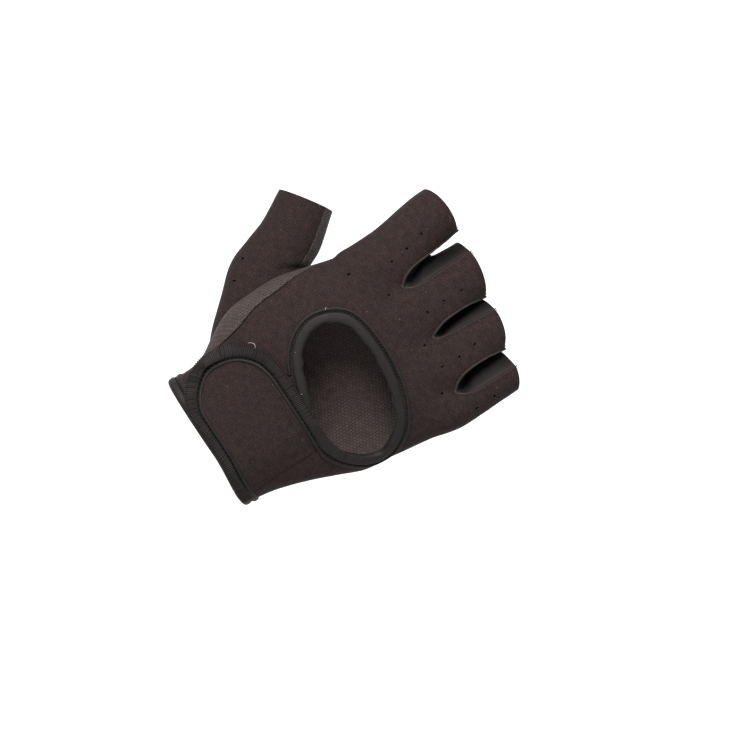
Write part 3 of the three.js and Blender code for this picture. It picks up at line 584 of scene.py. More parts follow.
# %% The back and the palm, each one sheet that is slit between the fingers
def ease_lines(grid, across):
    """Stretched cloth bridges a sharp valley: rounds the three lines where the columns meet."""
    rows, width = grid.shape[:2]
    line = np.abs(np.arange(width)[:, None] - np.array([1, 2, 3]) * across).min(axis=1) / across
    weight = bell(line, 0.3)[None, :, None]
    weight = weight * smooth((rows - 1 - np.arange(rows)) / 7)[:, None, None]
    weight[:, [0, -1]] = 0
    for _ in range(60):
        middle = (np.roll(grid, 1, axis=1) + np.roll(grid, -1, axis=1)) / 2
        grid = grid + (middle - grid) * weight * 0.8
    return grid


def column_grid(i, vs, palm, across, trim):
    """Points and normals of one column, trimmed at the slits and at the side seams."""
    joined = vs <= 1
    low = np.where(joined, SIDE_TRIM if i == 0 else 0, SIDE_TRIM if i == 0 else trim)
    high = np.where(joined, SIDE_TRIM if i == 3 else 0, SIDE_TRIM if i == 3 else trim)
    share = lerp(low[:, None], 1 - high[:, None], np.linspace(0, 1, across + 1)[None, :])
    v = np.broadcast_to(vs[:, None], share.shape)
    points = panel_point(i, share, v, palm)
    points = lean(points) if palm else part(points)
    safe, e = np.clip(share, 0.03, 0.97), 0.004
    side = panel_point(i, safe + e, v, palm) - panel_point(i, safe - e, v, palm)
    up = panel_point(i, safe, np.minimum(v + e, 2), palm) - panel_point(i, safe, v - e, palm)
    return points, unit(np.cross(side, up)) * (-1 if palm else 1)


def cloth_places(grids, joined, body_rows):
    """Flat places: across from the line between the middle columns, and straight in each finger."""
    runs = [lengths(grid, axis=1) for grid in grids]
    before = np.cumsum([run[:, -1] for run in runs], axis=0)
    places = []
    for i in range(4):
        start = before[i] - runs[i][:, -1] - before[1]
        middle = runs[i].shape[1] // 2
        parted = runs[i] - runs[i][:, [middle]] + (start[body_rows] + runs[i][body_rows, middle])
        u = np.where(joined[:, None], runs[i] + start[:, None], parted)
        places.append(np.stack([u, grids[i][..., 1]], axis=-1))
    return places


def slit_panel(name, palm, across, body_rows, finger_rows, thickness, trim, shape):
    """shape(points) returns the distance to move each point along its normal."""
    vs = np.concatenate([np.linspace(0, 1, body_rows + 1), np.linspace(1, 2, finger_rows + 1)[1:]])
    joined, rows = vs <= 1, len(vs)
    grids, normals = map(list, zip(*(column_grid(i, vs, palm, across, trim) for i in range(4))))
    for i in range(3):
        shared = unit(normals[i][joined, -1] + normals[i + 1][joined, 0])
        normals[i][joined, -1] = shared
        normals[i + 1][joined, 0] = shared
    whole = np.concatenate([grids[0][joined]] + [grid[joined, 1:] for grid in grids[1:]], axis=1)
    whole = ease_lines(whole, across)
    for i in range(4):
        grids[i][joined] = whole[:, i * across:(i + 1) * across + 1]
    places = cloth_places(grids, joined, body_rows)
    index = np.zeros((4, rows, across + 1), dtype=int)
    outer, inner, uv, quads, count = [], [], [], [], 0
    for i in range(4):
        new = np.ones((rows, across + 1), dtype=bool)
        if i:
            new[joined, 0] = False
            index[i][joined, 0] = index[i - 1][joined, -1]
        index[i][new] = count + np.arange(new.sum())
        count += new.sum()
        top = grids[i] + normals[i] * shape(grids[i])[..., None]
        outer.append(top[new])
        inner.append((top - normals[i] * thickness)[new])
        uv.append(places[i][new])
        quads.append(grid_quads(index[i])[:, ::-1 if palm else 1])
    return slab(name, np.concatenate(outer), np.concatenate(inner), np.concatenate(quads),
                np.concatenate(uv))


def shape_back(points):
    """Gentle waves, a crease with a swell above it from the thumb's crotch, and the dimples."""
    x, y = points[..., 0], points[..., 1]
    above, fade = (y - 97) - 0.35 * (x + 38), smooth((-20 - x) / 14)
    fold = (0.45 * bell(above - 6, 4.5) - 0.9 * bell(above, 2.6)) * fade
    dimples = sum(np.exp(-((x - at) ** 2 + ((y - up) / 1.5) ** 2) / 7) for at, up in DIMPLES)
    return hang(points, 0.14, 3) + fold - 0.55 * dimples


def shape_palm(points):
    return hang(points, 0.12, 7)


back_panel = slit_panel("back_panel_cloth", False, 38, 120, 44, NEOPRENE, 0.010, shape_back)
palm_panel = slit_panel("palm_panel_cloth", True, 30, 92, 26, GRIP_CLOTH, 0.012, shape_palm)
print("back", len(back_panel.data.polygons), "faces, palm", len(palm_panel.data.polygons), "faces")

# %% [markdown]
# ## Rolled edges, bindings and piping
#
# A binding is a strip folded over an edge, and piping is a strip folded over a cord. Both are one
# profile carried along a path. Each station of the path knows its point, the way across and the way
# up, and the profile may change from station to station, which gives ribs, stitch grooves and the
# slight puckers of a tape sewn round a bend.


# %% Paths and sweeps
def frames_along(points, up, closed=False):
    """Directions along, across and up at each point of a path."""
    ahead = np.roll(points, -1, axis=0)
    behind = np.roll(points, 1, axis=0)
    if not closed:
        ahead[-1], behind[0] = points[-1], points[0]
    along = unit(ahead - behind)
    across = unit(np.cross(along, up))
    return {"point": points, "across": across, "up": unit(np.cross(across, along)), "along": along}


def resample(points, pitch, closed=False):
    """The same path with evenly spaced points, about one pitch apart."""
    path = np.concatenate([points, points[:1]]) if closed else np.asarray(points, dtype=float)
    run = lengths(path)
    count = max(4, int(round(run[-1] / pitch)))
    at = np.linspace(0, run[-1], count + 1)[:count if closed else count + 1]
    return np.stack([np.interp(at, run, values) for values in path.T], axis=1)


def relax(points, times, closed=False):
    """Rounds the corners of a path."""
    points = points.copy()
    for _ in range(times):
        middle = (np.roll(points, 1, axis=0) + np.roll(points, -1, axis=0)) / 2
        moved = (points + middle) / 2
        if not closed:
            moved[0], moved[-1] = points[0], points[-1]
        points = moved
    return points


def closed_lengths(points):
    """Length so far round a closed path, with the way back to its first point as the last value."""
    return lengths(np.concatenate([points, points[:1]]))


def sweep(name, frames, profile, closed=False, sharp=50.0):
    """profile is (stations, sides, 2): millimetres across and up, going round the section."""
    points = (frames["point"][:, None] + frames["across"][:, None] * profile[..., :1]
              + frames["up"][:, None] * profile[..., 1:])
    rings, sides = profile.shape[:2]
    run = (closed_lengths if closed else lengths)(frames["point"])
    girth = closed_lengths(profile[0])
    r, k = np.meshgrid(np.arange(rings if closed else rings - 1), np.arange(sides), indexing="ij")
    r, k = r.ravel(), k.ravel()
    r2, k2 = (r + 1) % rings, (k + 1) % sides
    quads = np.stack([r * sides + k, r * sides + k2, r2 * sides + k2, r2 * sides + k], axis=1)
    corners = ((k, r), (k + 1, r), (k + 1, r + 1), (k, r + 1))
    uv = np.stack([np.stack([girth[a], run[b]], axis=1) for a, b in corners], axis=1)
    faces, corner_uv = quads.tolist(), uv.reshape(-1, 2)
    if not closed:
        for end, order in ((0, 1), (rings - 1, -1)):
            faces.append([end * sides + n for n in range(sides)][::order])
            corner_uv = np.concatenate([corner_uv, profile[end]])
    return tidy(build(name, points.reshape(-1, 3), faces, corner_uv), sharp)


def oval(stations, half_width, half_height, sides=20, lift=0.0, exponent=0.8):
    """The same rounded profile at every station; sizes may be one number or one for each station."""
    turn = np.linspace(0, 2 * np.pi, sides, endpoint=False)
    shape = np.stack([power(np.cos(turn), exponent), power(np.sin(turn), exponent)], axis=1)
    sizes = np.broadcast_arrays(half_width, half_height, lift, np.zeros(stations))
    wide, high, up, _ = (np.asarray(s, dtype=float) for s in sizes)
    profile = np.empty((stations, sides, 2))
    profile[..., 0] = wide[:, None] * shape[None, :, 0]
    profile[..., 1] = high[:, None] * shape[None, :, 1] + up[:, None]
    return profile


# %% Cutting tools
def apply_modifier(obj, modifier):
    """Makes what the modifier gives the object's own mesh."""
    result = bpy.data.meshes.new_from_object(obj.evaluated_get(bpy.context.evaluated_depsgraph_get()))
    obj.modifiers.remove(modifier)
    old, obj.data = obj.data, result
    bpy.data.meshes.remove(old)


def cut(obj, tool):
    """Takes the tool's volume out of obj and removes the tool."""
    carve = obj.modifiers.new("cut", "BOOLEAN")
    carve.operation = "DIFFERENCE"
    carve.solver = "MANIFOLD"
    carve.object = tool
    apply_modifier(obj, carve)
    bpy.data.objects.remove(tool, do_unlink=True)


def keep_largest(obj):
    """Drops the offcuts that a cut leaves behind."""
    bm = bmesh.new()
    bm.from_mesh(obj.data)
    left, groups = set(bm.verts), []
    while left:
        heap = [left.pop()]
        group = set(heap)
        while heap:
            for edge in heap.pop().link_edges:
                for vert in edge.verts:
                    if vert in left:
                        left.discard(vert)
                        group.add(vert)
                        heap.append(vert)
        groups.append(group)
    groups.sort(key=len, reverse=True)
    bmesh.ops.delete(bm, geom=[v for group in groups[1:] for v in group], context="VERTS")
    bm.to_mesh(obj.data)
    bm.free()
    return tidy(obj)


def tube_tool(name, rings):
    """A closed tube from rings of points."""
    stations, sides = rings.shape[:2]
    r, k = np.meshgrid(np.arange(stations - 1), np.arange(sides), indexing="ij")
    r, k = r.ravel(), k.ravel()
    k2 = (k + 1) % sides
    quads = np.stack([r * sides + k, r * sides + k2, (r + 1) * sides + k2, (r + 1) * sides + k], 1)
    faces = quads.tolist() + [list(range(sides))[::-1],
                              [(stations - 1) * sides + n for n in range(sides)]]
    flat = rings.reshape(-1, 3)
    return tidy(build(name, flat, faces, np.zeros((sum(map(len, faces)), 2))))


def thumb_point(degrees, v):
    """Point of the thumb's tube, where v runs from its opening (0) to its root in the body (1)."""
    degrees, v = np.broadcast_arrays(np.asarray(degrees, float), np.asarray(v, float))
    stations = np.arange(len(THUMB), dtype=float)
    lx, ly, rx, ry, z, rise = (column(stations, THUMB[:, n], v * (len(THUMB) - 1)) for n in range(6))
    share = (1 + np.cos(np.radians(degrees))) / 2
    height = z + rise * np.sin(np.radians(degrees))
    return np.stack([lerp(lx, rx, share), lerp(ly, ry, share), height], axis=-1)


def thumb_centre(v):
    return (thumb_point(0, v) + thumb_point(180, v)) / 2


def thumb_tool(grow):
    v, degrees = np.linspace(0, 1, 40)[:, None], np.linspace(0, 360, 72, endpoint=False)[None, :]
    rings = thumb_point(degrees, v)
    return tube_tool("thumb_tool", rings + unit(rings - thumb_centre(v)) * grow)


def body_tool(grow):
    y, degrees = np.linspace(0, 100, 60)[:, None], np.linspace(0, 360, 144, endpoint=False)[None, :]
    rings = body_point(degrees, y)
    middle = section(y)["centre"]
    centre = np.stack([middle, y, level(middle, y)], axis=-1)
    return tube_tool("body_tool", rings + unit(rings - centre) * grow)


# %% The window's edge
def window_outline(count):
    """Closed centripetal Catmull-Rom curve through the table, its points evenly spread."""
    p, dense = np.array(WINDOW, dtype=float), []
    for k in range(len(p)):
        p0, p1, p2, p3 = (p[(k + n) % len(p)] for n in (-1, 0, 1, 2))
        d0, d1, d2 = (float(np.sum((a - b) ** 2)) ** 0.25 for a, b in ((p0, p1), (p1, p2), (p2, p3)))
        m1 = ((p1 - p0) / d0 - (p2 - p0) / (d0 + d1) + (p2 - p1) / d1) * d1
        m2 = ((p2 - p1) / d1 - (p3 - p1) / (d1 + d2) + (p3 - p2) / d2) * d1
        t = np.linspace(0, 1, 60, endpoint=False)[:, None]
        dense.append(p1 + m1 * t + (-3 * p1 + 3 * p2 - 2 * m1 - m2) * t**2
                     + (2 * p1 - 2 * p2 + m1 + m2) * t**3)
    dense = np.concatenate(dense)
    return resample(dense, closed_lengths(dense)[-1] / count, closed=True)


def window_rail(count, distance):
    """Frames round the window, so far outside its inner edge."""
    xy = window_outline(count)
    inner = on_back(xy[:, 0], xy[:, 1])
    f = frames_along(inner, body_normal(inner), closed=True)
    away = np.sum(f["across"] * (inner - WINDOW_MIDDLE), axis=1) < 0
    out = np.where(away[:, None], -f["across"], f["across"])
    point = on_body(inner + out * distance)
    up = body_normal(point)
    across = unit(out - up * np.sum(out * up, axis=1, keepdims=True))
    return {"point": point, "across": across, "up": up, "along": f["along"]}


def window_tool():
    middle = window_rail(180, BINDING_WIDTH / 2 + 0.6)
    rings = np.stack([middle["point"] - middle["up"] * 7, middle["point"] + middle["up"] * 7])
    return tube_tool("window_tool", rings)


# %% Cut the window, the thumb hole and the vents
def vent_tool(places, seed):
    """Punches a little out of round, as a hot needle leaves them."""
    rng = np.random.default_rng(seed)
    tools = []
    turn = np.linspace(0, 2 * np.pi, 12, endpoint=False)
    for x, y in places:
        wobble = 1 + 0.16 * rng.standard_normal(12)
        longer, lie = rng.uniform(1.0, 1.5), rng.normal(0.35, 0.5)
        across = VENT_R / longer * wobble * np.sin(turn)
        along = VENT_R * longer * wobble * np.cos(turn)
        ring = np.stack([x + along * math.sin(lie) + across * math.cos(lie),
                         y + along * math.cos(lie) - across * math.sin(lie), np.zeros(12)], axis=1)
        tools.append(tube_tool("vent", np.stack([ring - [0, 0, 6], ring + [0, 0, 40]])))
    with bpy.context.temp_override(active_object=tools[0], selected_editable_objects=tools):
        bpy.ops.object.join()
    return tools[0]


cut(back_panel, window_tool())
cut(back_panel, thumb_tool(THUMB_GAP))
cut(back_panel, vent_tool(VENTS, 5))
keep_largest(back_panel)
cut(palm_panel, thumb_tool(THUMB_GAP))
keep_largest(palm_panel)
print("after the cuts:", len(back_panel.data.polygons), "and", len(palm_panel.data.polygons), "faces")

# %% [markdown]
# ## The thumb
#
# The thumb is a tube of two panels: knit neoprene over the back and grip cloth over the palm side.
# The hole in the body's panels is a hair wider than the tube, and the thin dark line that is left
# reads as the sewn seam. The tube runs on a little way through the hole, so no light shows past it.


# %% Thumb panels
def grid_slab(name, points, thickness, move, roll=0.45):
    """A slab under one grid of points, each moved along its normal."""
    normals = grid_normals(points)
    points = points + normals * move[..., None]
    rows, columns = points.shape[:2]
    run, rise = lengths(points, axis=1), lengths(points[:, columns // 2])
    run = run - run[:, [columns // 2]]
    uv = np.stack([run, np.broadcast_to(rise[:, None], run.shape)], axis=-1)
    quads = grid_quads(np.arange(rows * columns).reshape(rows, columns))
    return slab(name, points.reshape(-1, 3), (points - normals * thickness).reshape(-1, 3),
                quads, uv.reshape(-1, 2), roll)


def thumb_fold(points):
    """The soft fold that runs down the thumb's back from its crotch."""
    from_start = points[..., :2] - THUMB_FOLD["start"]
    way = unit(np.array(THUMB_FOLD["way"]))
    along = from_start @ way
    away = from_start @ np.array([-way[1], way[0]])
    fade = smooth((along + 2) / 3) * (1 - smooth((along - 6) / 13)) * (points[..., 2] > 0)
    return fade * (0.4 * bell(away + 3.2, 2) - bell(away, 1.6))


def thumb_panel(name, first, last, thickness, seed):
    """One half of the thumb's tube, from the first angle to the last one."""
    v, degrees = np.linspace(0, 1, 120)[:, None], np.linspace(first, last, 64)[None, :]
    points = thumb_point(degrees, v)
    return grid_slab(name, points, thickness, hang(points, 0.16, seed) + thumb_fold(points))


thumb_back = thumb_panel("thumb_back_cloth", THUMB_SEAMS[1], THUMB_SEAMS[0], NEOPRENE, 11)
cut(thumb_back, body_tool(-THUMB_PAST["back"]))
cut(thumb_back, vent_tool(THUMB_VENTS, 6))
keep_largest(thumb_back)
thumb_palm = thumb_panel("thumb_palm_cloth", THUMB_SEAMS[0] - 360 + SEAM_TURN, THUMB_SEAMS[1] - SEAM_TURN,
                         GRIP_CLOTH, 12)
cut(thumb_palm, body_tool(-THUMB_PAST["palm"]))
keep_largest(thumb_palm)
print("thumb", len(thumb_back.data.polygons) + len(thumb_palm.data.polygons), "faces")

# %% [markdown]
# ## Between the fingers
#
# The slits in the back show thin stretch cloth that runs down between two fingers to the palm. The
# cloth is held at its ends only, so it gets small folds along the pull. The edge of each slit is
# rolled over and top-stitched, which makes the pale rim round each dark opening.


# %% Walls of stretch cloth
def wall_grid(j, alongs, downs):
    """The wall as a grid: along runs from one opening (-1) round the crotch (0) to the next (1)."""
    reach, sign = np.abs(alongs), np.where(alongs < 0, -1.0, 1.0)
    ends = []
    for palm in (False, True):
        legs = [panel_point(j - 1 + side, 1.0 - side, 1 + reach, palm) for side in (0, 1)]
        line = np.where((alongs < 0)[:, None], legs[0], legs[1])
        ends.append(lean(line) if palm else part(line + 0.01 * sign[:, None] * [1, 0, 0]))
    top, foot = ends
    y = top[:, 1]
    left = slit_sides(j, y)[0]
    meet = left + 0.2
    first, half = finger_tube(j, y)
    open_end = 0 * reach
    if j == 1:
        open_end = smooth((lerp(y, foot[:, 1], 0.6) - WALL_OPENS) / WALL_OPENS_OVER)
    edge = first - half - 0.8 * (1 - reach)
    goal = np.where(alongs < 0, left - 0.3, lerp(meet, np.maximum(meet, edge), open_end))
    turn = smooth((alongs + 0.15) / 0.3)
    middle = lerp(top[:, 0], foot[:, 0], lerp(0.5**WALL_BEND, 1 - 0.5**WALL_BEND, turn))
    bulge = np.clip((middle - goal) * sign, -1.5, 6) * smooth(reach / 0.25)
    d = downs[:, None]
    share = lerp(d**WALL_BEND, 1 - (1 - d) ** WALL_BEND, turn)
    points = lerp(top, foot, d[..., None])
    points[..., 0] = lerp(top[:, 0], foot[:, 0], share) - bulge * sign * 4 * d * (1 - d)
    side = smooth(reach / 0.12)
    sink = np.where(alongs > 0, 0.45, 0.2) * side
    points[..., 2] -= sink * (1 - d)
    under = top + np.stack([sign * side * 1.1, side - 1, 0 * side - 0.9], axis=1)
    return np.concatenate([under[None], points])


def fourchette(j, name, seed):
    even = np.linspace(-1, 1, 141)
    alongs = 0.6 * even + 0.4 * np.sin(even * np.pi / 2)
    downs = np.linspace(0.0, 0.95, 40)
    points = wall_grid(j, alongs, downs)
    along = np.broadcast_to(alongs, points.shape[:2])
    down = np.broadcast_to(np.concatenate([[0], downs])[:, None], points.shape[:2])
    slack = np.sin(np.pi * np.minimum(1, down))
    pull = np.sin(24 * along + 5 * down + 2.2 * smooth_noise(points, 6, seed))
    pucker = bell(along, 0.2) * np.sin(np.pi * np.minimum(1, 2.5 * down))
    free = np.where(along < 0, 0.0, 1 - smooth((down - 0.3) / 0.3))
    move = slack * free * (0.1 * pull + 0.16 * smooth_noise(points, 6, seed + 1))
    move = move + pucker * 0.3 * smooth_noise(points, 2.2, seed + 2)
    return grid_slab(name, points, STRETCH_CLOTH, move, 0.2)


WALLS = ["index_middle", "middle_ring", "ring_little"]
fourchettes = []
for k, name in enumerate(WALLS):
    fourchettes.append(fourchette(k + 1, f"fourchette_{name}_cloth", 20 + k))


# %% Rolled edges of the slits
TIP_R, TIP_PAST = 1.75, 1.5  # the least radius of a slit's end, and how far it passes the crotch


def finger_axis(i, y):
    """Points on the middle line of a finger."""
    centre, _ = finger_tube(i, y)
    return np.stack([centre, y, level(centre, y)], axis=1)


def slit_edge(j):
    """Path of one slit's edge, from one opening round its blunt tip to the next, and the way up."""
    v = np.linspace(0.93, 2.012, 160)
    sides = [part(panel_point(i, share, v, False)) for i, share in ((j - 1, 0.99), (j, 0.01))]
    low = CROTCHES[j - 1]["y"] - TIP_PAST
    legs, ups = [], []
    for side, sign in ((0, -1), (1, 1)):
        mine, other = sides[side], sides[1 - side]
        y = np.concatenate([[low], mine[mine[:, 1] > low + 0.05, 1]])
        mine = np.stack([np.interp(y, mine[:, 1], mine[:, k]) for k in range(3)], axis=1)
        middle = (mine[:, 0] + np.interp(y, other[:, 1], other[:, 0])) / 2
        short = np.clip((low + TIP_R - y) / TIP_R, 0, 1)
        half = np.maximum(sign * (mine[:, 0] - middle), TIP_R * np.sqrt(1 - short**2))
        mine[:, 0] = middle + sign * half
        legs.append(mine)
        ups.append(unit(mine - finger_axis(j - 1 + side, y) + [0, 0, 6]))
    return np.concatenate([legs[0][::-1], legs[1][1:]]), np.concatenate([ups[0][::-1], ups[1][1:]])


def slit_frames(j, inside, lift):
    """Frames along a slit's edge, moved towards the slit and upwards."""
    points, ups = slit_edge(j)
    run = lengths(points)
    path = relax(resample(relax(resample(points, 0.35), 6), 0.4), 3)
    at = lengths(path) * run[-1] / lengths(path)[-1]
    up = np.stack([np.interp(at, run, ups[:, k]) for k in range(3)], axis=1)
    frames = frames_along(path, relax(up, 40))
    frames["point"] = path - frames["across"] * inside + frames["up"] * lift
    return frames


def slit_roll(j, name, seed):
    """Full on the thumb side and round the crotch, then dying away into the flat seam opposite."""
    frames = slit_frames(j, 0.42, -0.12)
    run = lengths(frames["point"])
    pucker = path_noise(run, 2.6, seed)
    turn = run[int(np.argmin(frames["point"][:, 1]))]
    fade = smooth((run - turn - 3) / 9)
    knob = bell(run - turn, 1.8)
    wide = (lerp(0.56, 0.26, fade) + 0.12 * knob) * (1 + 0.16 * pucker)
    high = (lerp(0.66, 0.24, fade) + 0.12 * knob) * (1 + 0.14 * pucker)
    frames["point"] = frames["point"] + frames["across"] * (0.42 * fade)[:, None]
    return sweep(name, frames, oval(len(run), wide, high, 18, 0.0, 0.9))


def side_seam_end():
    """The turned-in end of the side seam, a small tab at the corner of the first opening."""
    v = np.linspace(1.86, 2.022, 24)
    points = panel_point(0, 0.004, v, False)
    up = unit(points - finger_axis(0, points[:, 1]))
    size = 0.34 * smooth((v - 1.85) / 0.06)
    profile = oval(len(v), size + 0.05, size * 1.5 + 0.05, 12, 0.1)
    return sweep("side_seam_end", frames_along(points, up), profile)


side_seam_roll = side_seam_end()
slit_rolls = [slit_roll(k + 1, f"slit_roll_{name}", 30 + k) for k, name in enumerate(WALLS)]
print("faces of the walls", [len(wall.data.polygons) for wall in fourchettes])
print("faces of the rolls", [len(roll.data.polygons) for roll in slit_rolls])

# %% [markdown]
# ## The window's binding
#
# The oval window is bound with a smooth stretch tape folded over the cut edge. The tape is flat on
# top and round at its sides. A row of stitches holds it near its outer side and pulls a small groove,
# and on the inside of a bend the tape has more length than it needs and ruffles a little. A thin piping
# runs round the outside of it.


# %% Binding and piping of the window
def window_binding():
    count = 330
    f = window_rail(count, BINDING_WIDTH / 2)
    run = closed_lengths(f["point"])[:-1]
    high = (NEOPRENE + 2 * BINDING_PROUD) / 2
    profile = oval(count, BINDING_WIDTH / 2 - 0.1, high, 56, -NEOPRENE / 2, 0.66)
    across, up = profile[..., 0], profile[..., 1]
    top = smooth((up + NEOPRENE / 2) / high * 2)
    ruffle = (path_noise(run, 4.2, 41) + 0.5 * path_noise(run, 1.8, 42))[:, None]
    inner = smooth((0.4 - across) / 3.2)
    groove = bell(across - 2.3, 0.42) * top
    ribs = 0.05 * np.sin(across * 7.5) * top
    bow = np.sin(f["point"][:, 0] * 0.14)[:, None] * 0.05
    profile[..., 1] = up - 0.6 * groove + ribs + bow * top + 0.12 * ruffle * inner * top
    profile[..., 0] = across + 0.5 * ruffle * inner * smooth(-across)
    return sweep("window_binding_tape", f, profile, closed=True)


def window_piping():
    """The roll is left out where the strap lies over it."""
    f = window_rail(420, BINDING_WIDTH + PIPING_R + 0.4)
    below = f["point"][:, 1] < STRAP["high"] + STRAP["binding"] + 1.2
    hidden = below & (f["point"][:, 0] < STRAP["root_x"] + 3)
    first = int(np.nonzero(hidden & ~np.roll(hidden, -1))[0][0]) + 1
    order = np.roll(np.arange(len(hidden)), -first)
    order = order[~hidden[order]]
    f = {key: value[order] for key, value in f.items()}
    radius = 0.66 + 0.05 * path_noise(lengths(f["point"]), 3.0, 43)
    return sweep("window_piping_roll", f, oval(len(order), radius, radius, 16, 0.3))


window_binding_tape = window_binding()
window_piping_roll = window_piping()
print("window tape", len(window_binding_tape.data.polygons), "faces")

# %% [markdown]
# ## The strap
#
# The strap crosses the back of the wrist: a neoprene tab, a smooth roll inside its edge, and a band of
# ribbed elastic sewn round it. The elastic's ribs are real geometry here, because their shadow lines are
# what makes it read as elastic. The tab's face is plain.


# %% The strap's outline and height
def strap_outline(grow, corner_steps):
    """Round the tip, between the two lines of the table, with the local width in hundredths."""
    table = np.array(STRAP_TIP, dtype=float)
    inner, outer = table[:, :2], table[:, 2:]
    share = (grow + STRAP_INSET) / STRAP_RING
    rows = np.arange(len(table))
    at = np.linspace(0, len(table) - 1, 2 * corner_steps)
    line = inner + (outer - inner) * share
    wide = np.linalg.norm(outer - inner, axis=1) / STRAP_RING / 100
    return np.stack([column(rows, values, at) for values in (*line.T, wide)], axis=1)


def strap_lift(x, y):
    """Room between the back and the strap, more over the hem and the window's binding."""
    over_hem = smooth((13 - y) / 6)
    over_binding = smooth((y - 38) / 5) * smooth((x + 22) / 12)
    lift = STRAP["lift"] + STRAP["over_hem"] * np.maximum(over_hem, over_binding)
    return lift * (1 - 0.9 * smooth((x - 16) / 18))


def strap_height(x):
    """Thickness of the strap, which thins towards its root."""
    return lerp(STRAP["thickness"], 0.9, smooth((x - 16) / (STRAP["root_x"] - 16)))


def strap_path(distance, top_line, root_low, pitch):
    """The line that a band or roll follows: in along the top line, then round the tab at a distance."""
    rim = strap_outline(distance, 40)
    low = np.linspace(rim[-1, 0], root_low, 40)[1:]
    rest = np.concatenate([rim, np.stack([low, rim[-1, 1] - root_drop(low), 0 * low + 0.01], 1)])
    top = np.array(top_line, dtype=float)
    x = np.linspace(top[0, 0], rim[0, 0], 90)[:-1]
    top = np.stack([x, np.interp(x, top[::-1, 0], top[::-1, 1]), 0 * x + 0.01], axis=1)
    flat = resample(np.concatenate([top, rest]), 0.8)
    flat = resample(relax(flat, 8), pitch)
    point = on_back(flat[:, 0], flat[:, 1])
    up = body_normal(point)
    point = point + up * strap_lift(flat[:, 0], flat[:, 1])[:, None]
    f = frames_along(point, up)
    away = np.sum(f["across"] * (point - np.array([5, 25, 20])), axis=1).mean() < 0
    f["across"] = -f["across"] if away else f["across"]
    f["wide"] = flat[:, 2] * 100
    return f


# %% Tab, roll and ribbed band
def strap_tab():
    """Rows run from the root to the tip; columns from the upper edge to the lower one."""
    rows, columns = 110, 80
    rim = strap_outline(0, 60)
    top = np.linspace(STRAP["root_x"], rim[0, 0], 70)[:-1]
    low = np.linspace(rim[-1, 0], STRAP["root_x"], 70)[1:]
    above = STRAP["high"] - 1.6 * smooth((top - 14) / 17)
    upper = np.concatenate([np.stack([top, above], 1), rim[:60, :2]])
    lower = np.concatenate([rim[60:, :2], np.stack([low, STRAP["low"] - root_drop(low)], 1)])[::-1]
    ends = []
    for line in (upper, lower):
        run = lengths(line)
        at = np.linspace(0, run[-1], rows)
        ends.append(np.stack([np.interp(at, run, values) for values in line.T], axis=1))
    t = np.linspace(0, 1, columns)[None, :, None]
    xy = lerp(ends[0][:, None], ends[1][:, None], t)
    x, y = xy[..., 0], xy[..., 1]
    base = on_back(x, y)
    normal = body_normal(base)
    edge = np.minimum(np.minimum(t[..., 0], 1 - t[..., 0]) * 37, x - rim[:, 0].min())
    sink = 0.55 * bell(edge, 1.4) + 0.3 * bell(edge - 3.1, 0.5)
    seam = 0.2 * bell(x - 28.6, 0.7)
    flush = smooth((x - 25) / (STRAP["root_x"] - 25))
    lift = strap_lift(x, y) * (1 - flush)
    height = strap_height(x) - np.minimum(sink, 0.6 * strap_height(x)) - seam
    height = lerp(height, 0.3, flush)
    outer = base + normal * (lift + height + hang(base, 0.1, 51) * (1 - flush))[..., None]
    inner = base + normal * (lift - 0.5 * flush)[..., None]
    quads = grid_quads(np.arange(rows * columns).reshape(rows, columns))
    run = lengths(outer, axis=1)
    uv = np.stack([x, run - run[:, [columns // 2]]], axis=-1).reshape(-1, 2)
    return slab("strap_tab", outer.reshape(-1, 3), inner.reshape(-1, 3), quads, uv, 0.35)


def strap_band():
    """Ribbed elastic; its ribs die away where it thins to join the window's edge."""
    f = strap_path(STRAP["binding"] / 2 + 0.32, BAND_LINE, STRAP["root_x"] + 1.5, 0.19)
    x, run = f["point"][:, 0], lengths(f["point"])
    upper = f["point"][:, 1] > 25
    joins = smooth((x - 20) / 14) * upper
    full = lerp(strap_height(x) * 0.5 + 0.12, 0.42, joins)
    half = (STRAP["binding"] / 2 - 0.03 - 0.1 * joins) * f["wide"]
    profile = oval(len(run), half, full, 26, full, 0.72)
    rib = power(np.cos(2 * np.pi * run / RIB_PITCH), 0.7)
    rib = (rib * (1 - smooth((x - 17) / 7) * upper))[:, None]
    outer = smooth((profile[..., 0] + 2.6) / 0.8)
    profile[..., 1] += 0.22 * rib * smooth((profile[..., 1] - 0.3) / 0.6)
    profile[..., 0] += 0.2 * rib * smooth(profile[..., 0] / 2.2) * outer
    profile[..., 1] += 0.1 * path_noise(run, 7, 52)[:, None]
    return sweep("strap_band_elastic", f, profile, sharp=75)


def strap_roll():
    f = strap_path(-STRAP_INSET, ROLL_LINE, STRAP["root_x"] - 2.5, 0.5)
    x, run = f["point"][:, 0], lengths(f["point"])
    wave = 0.04 * path_noise(run, 4, 53)
    lift = strap_height(x) * (1 - smooth((x - 22) / 14)) + 0.1
    profile = oval(len(run), 0.62 + wave, 0.66 + wave, 20, lift, 0.85)
    return sweep("strap_piping_roll", f, profile)


tab, band, strap_piping_roll = strap_tab(), strap_band(), strap_roll()
print("strap", [len(o.data.polygons) for o in (tab, band, strap_piping_roll)])

# %% [markdown]
# ## The wrist hem
#
# The cuff ends in a rolled hem, with a second, smaller roll where it is turned in and sewn.


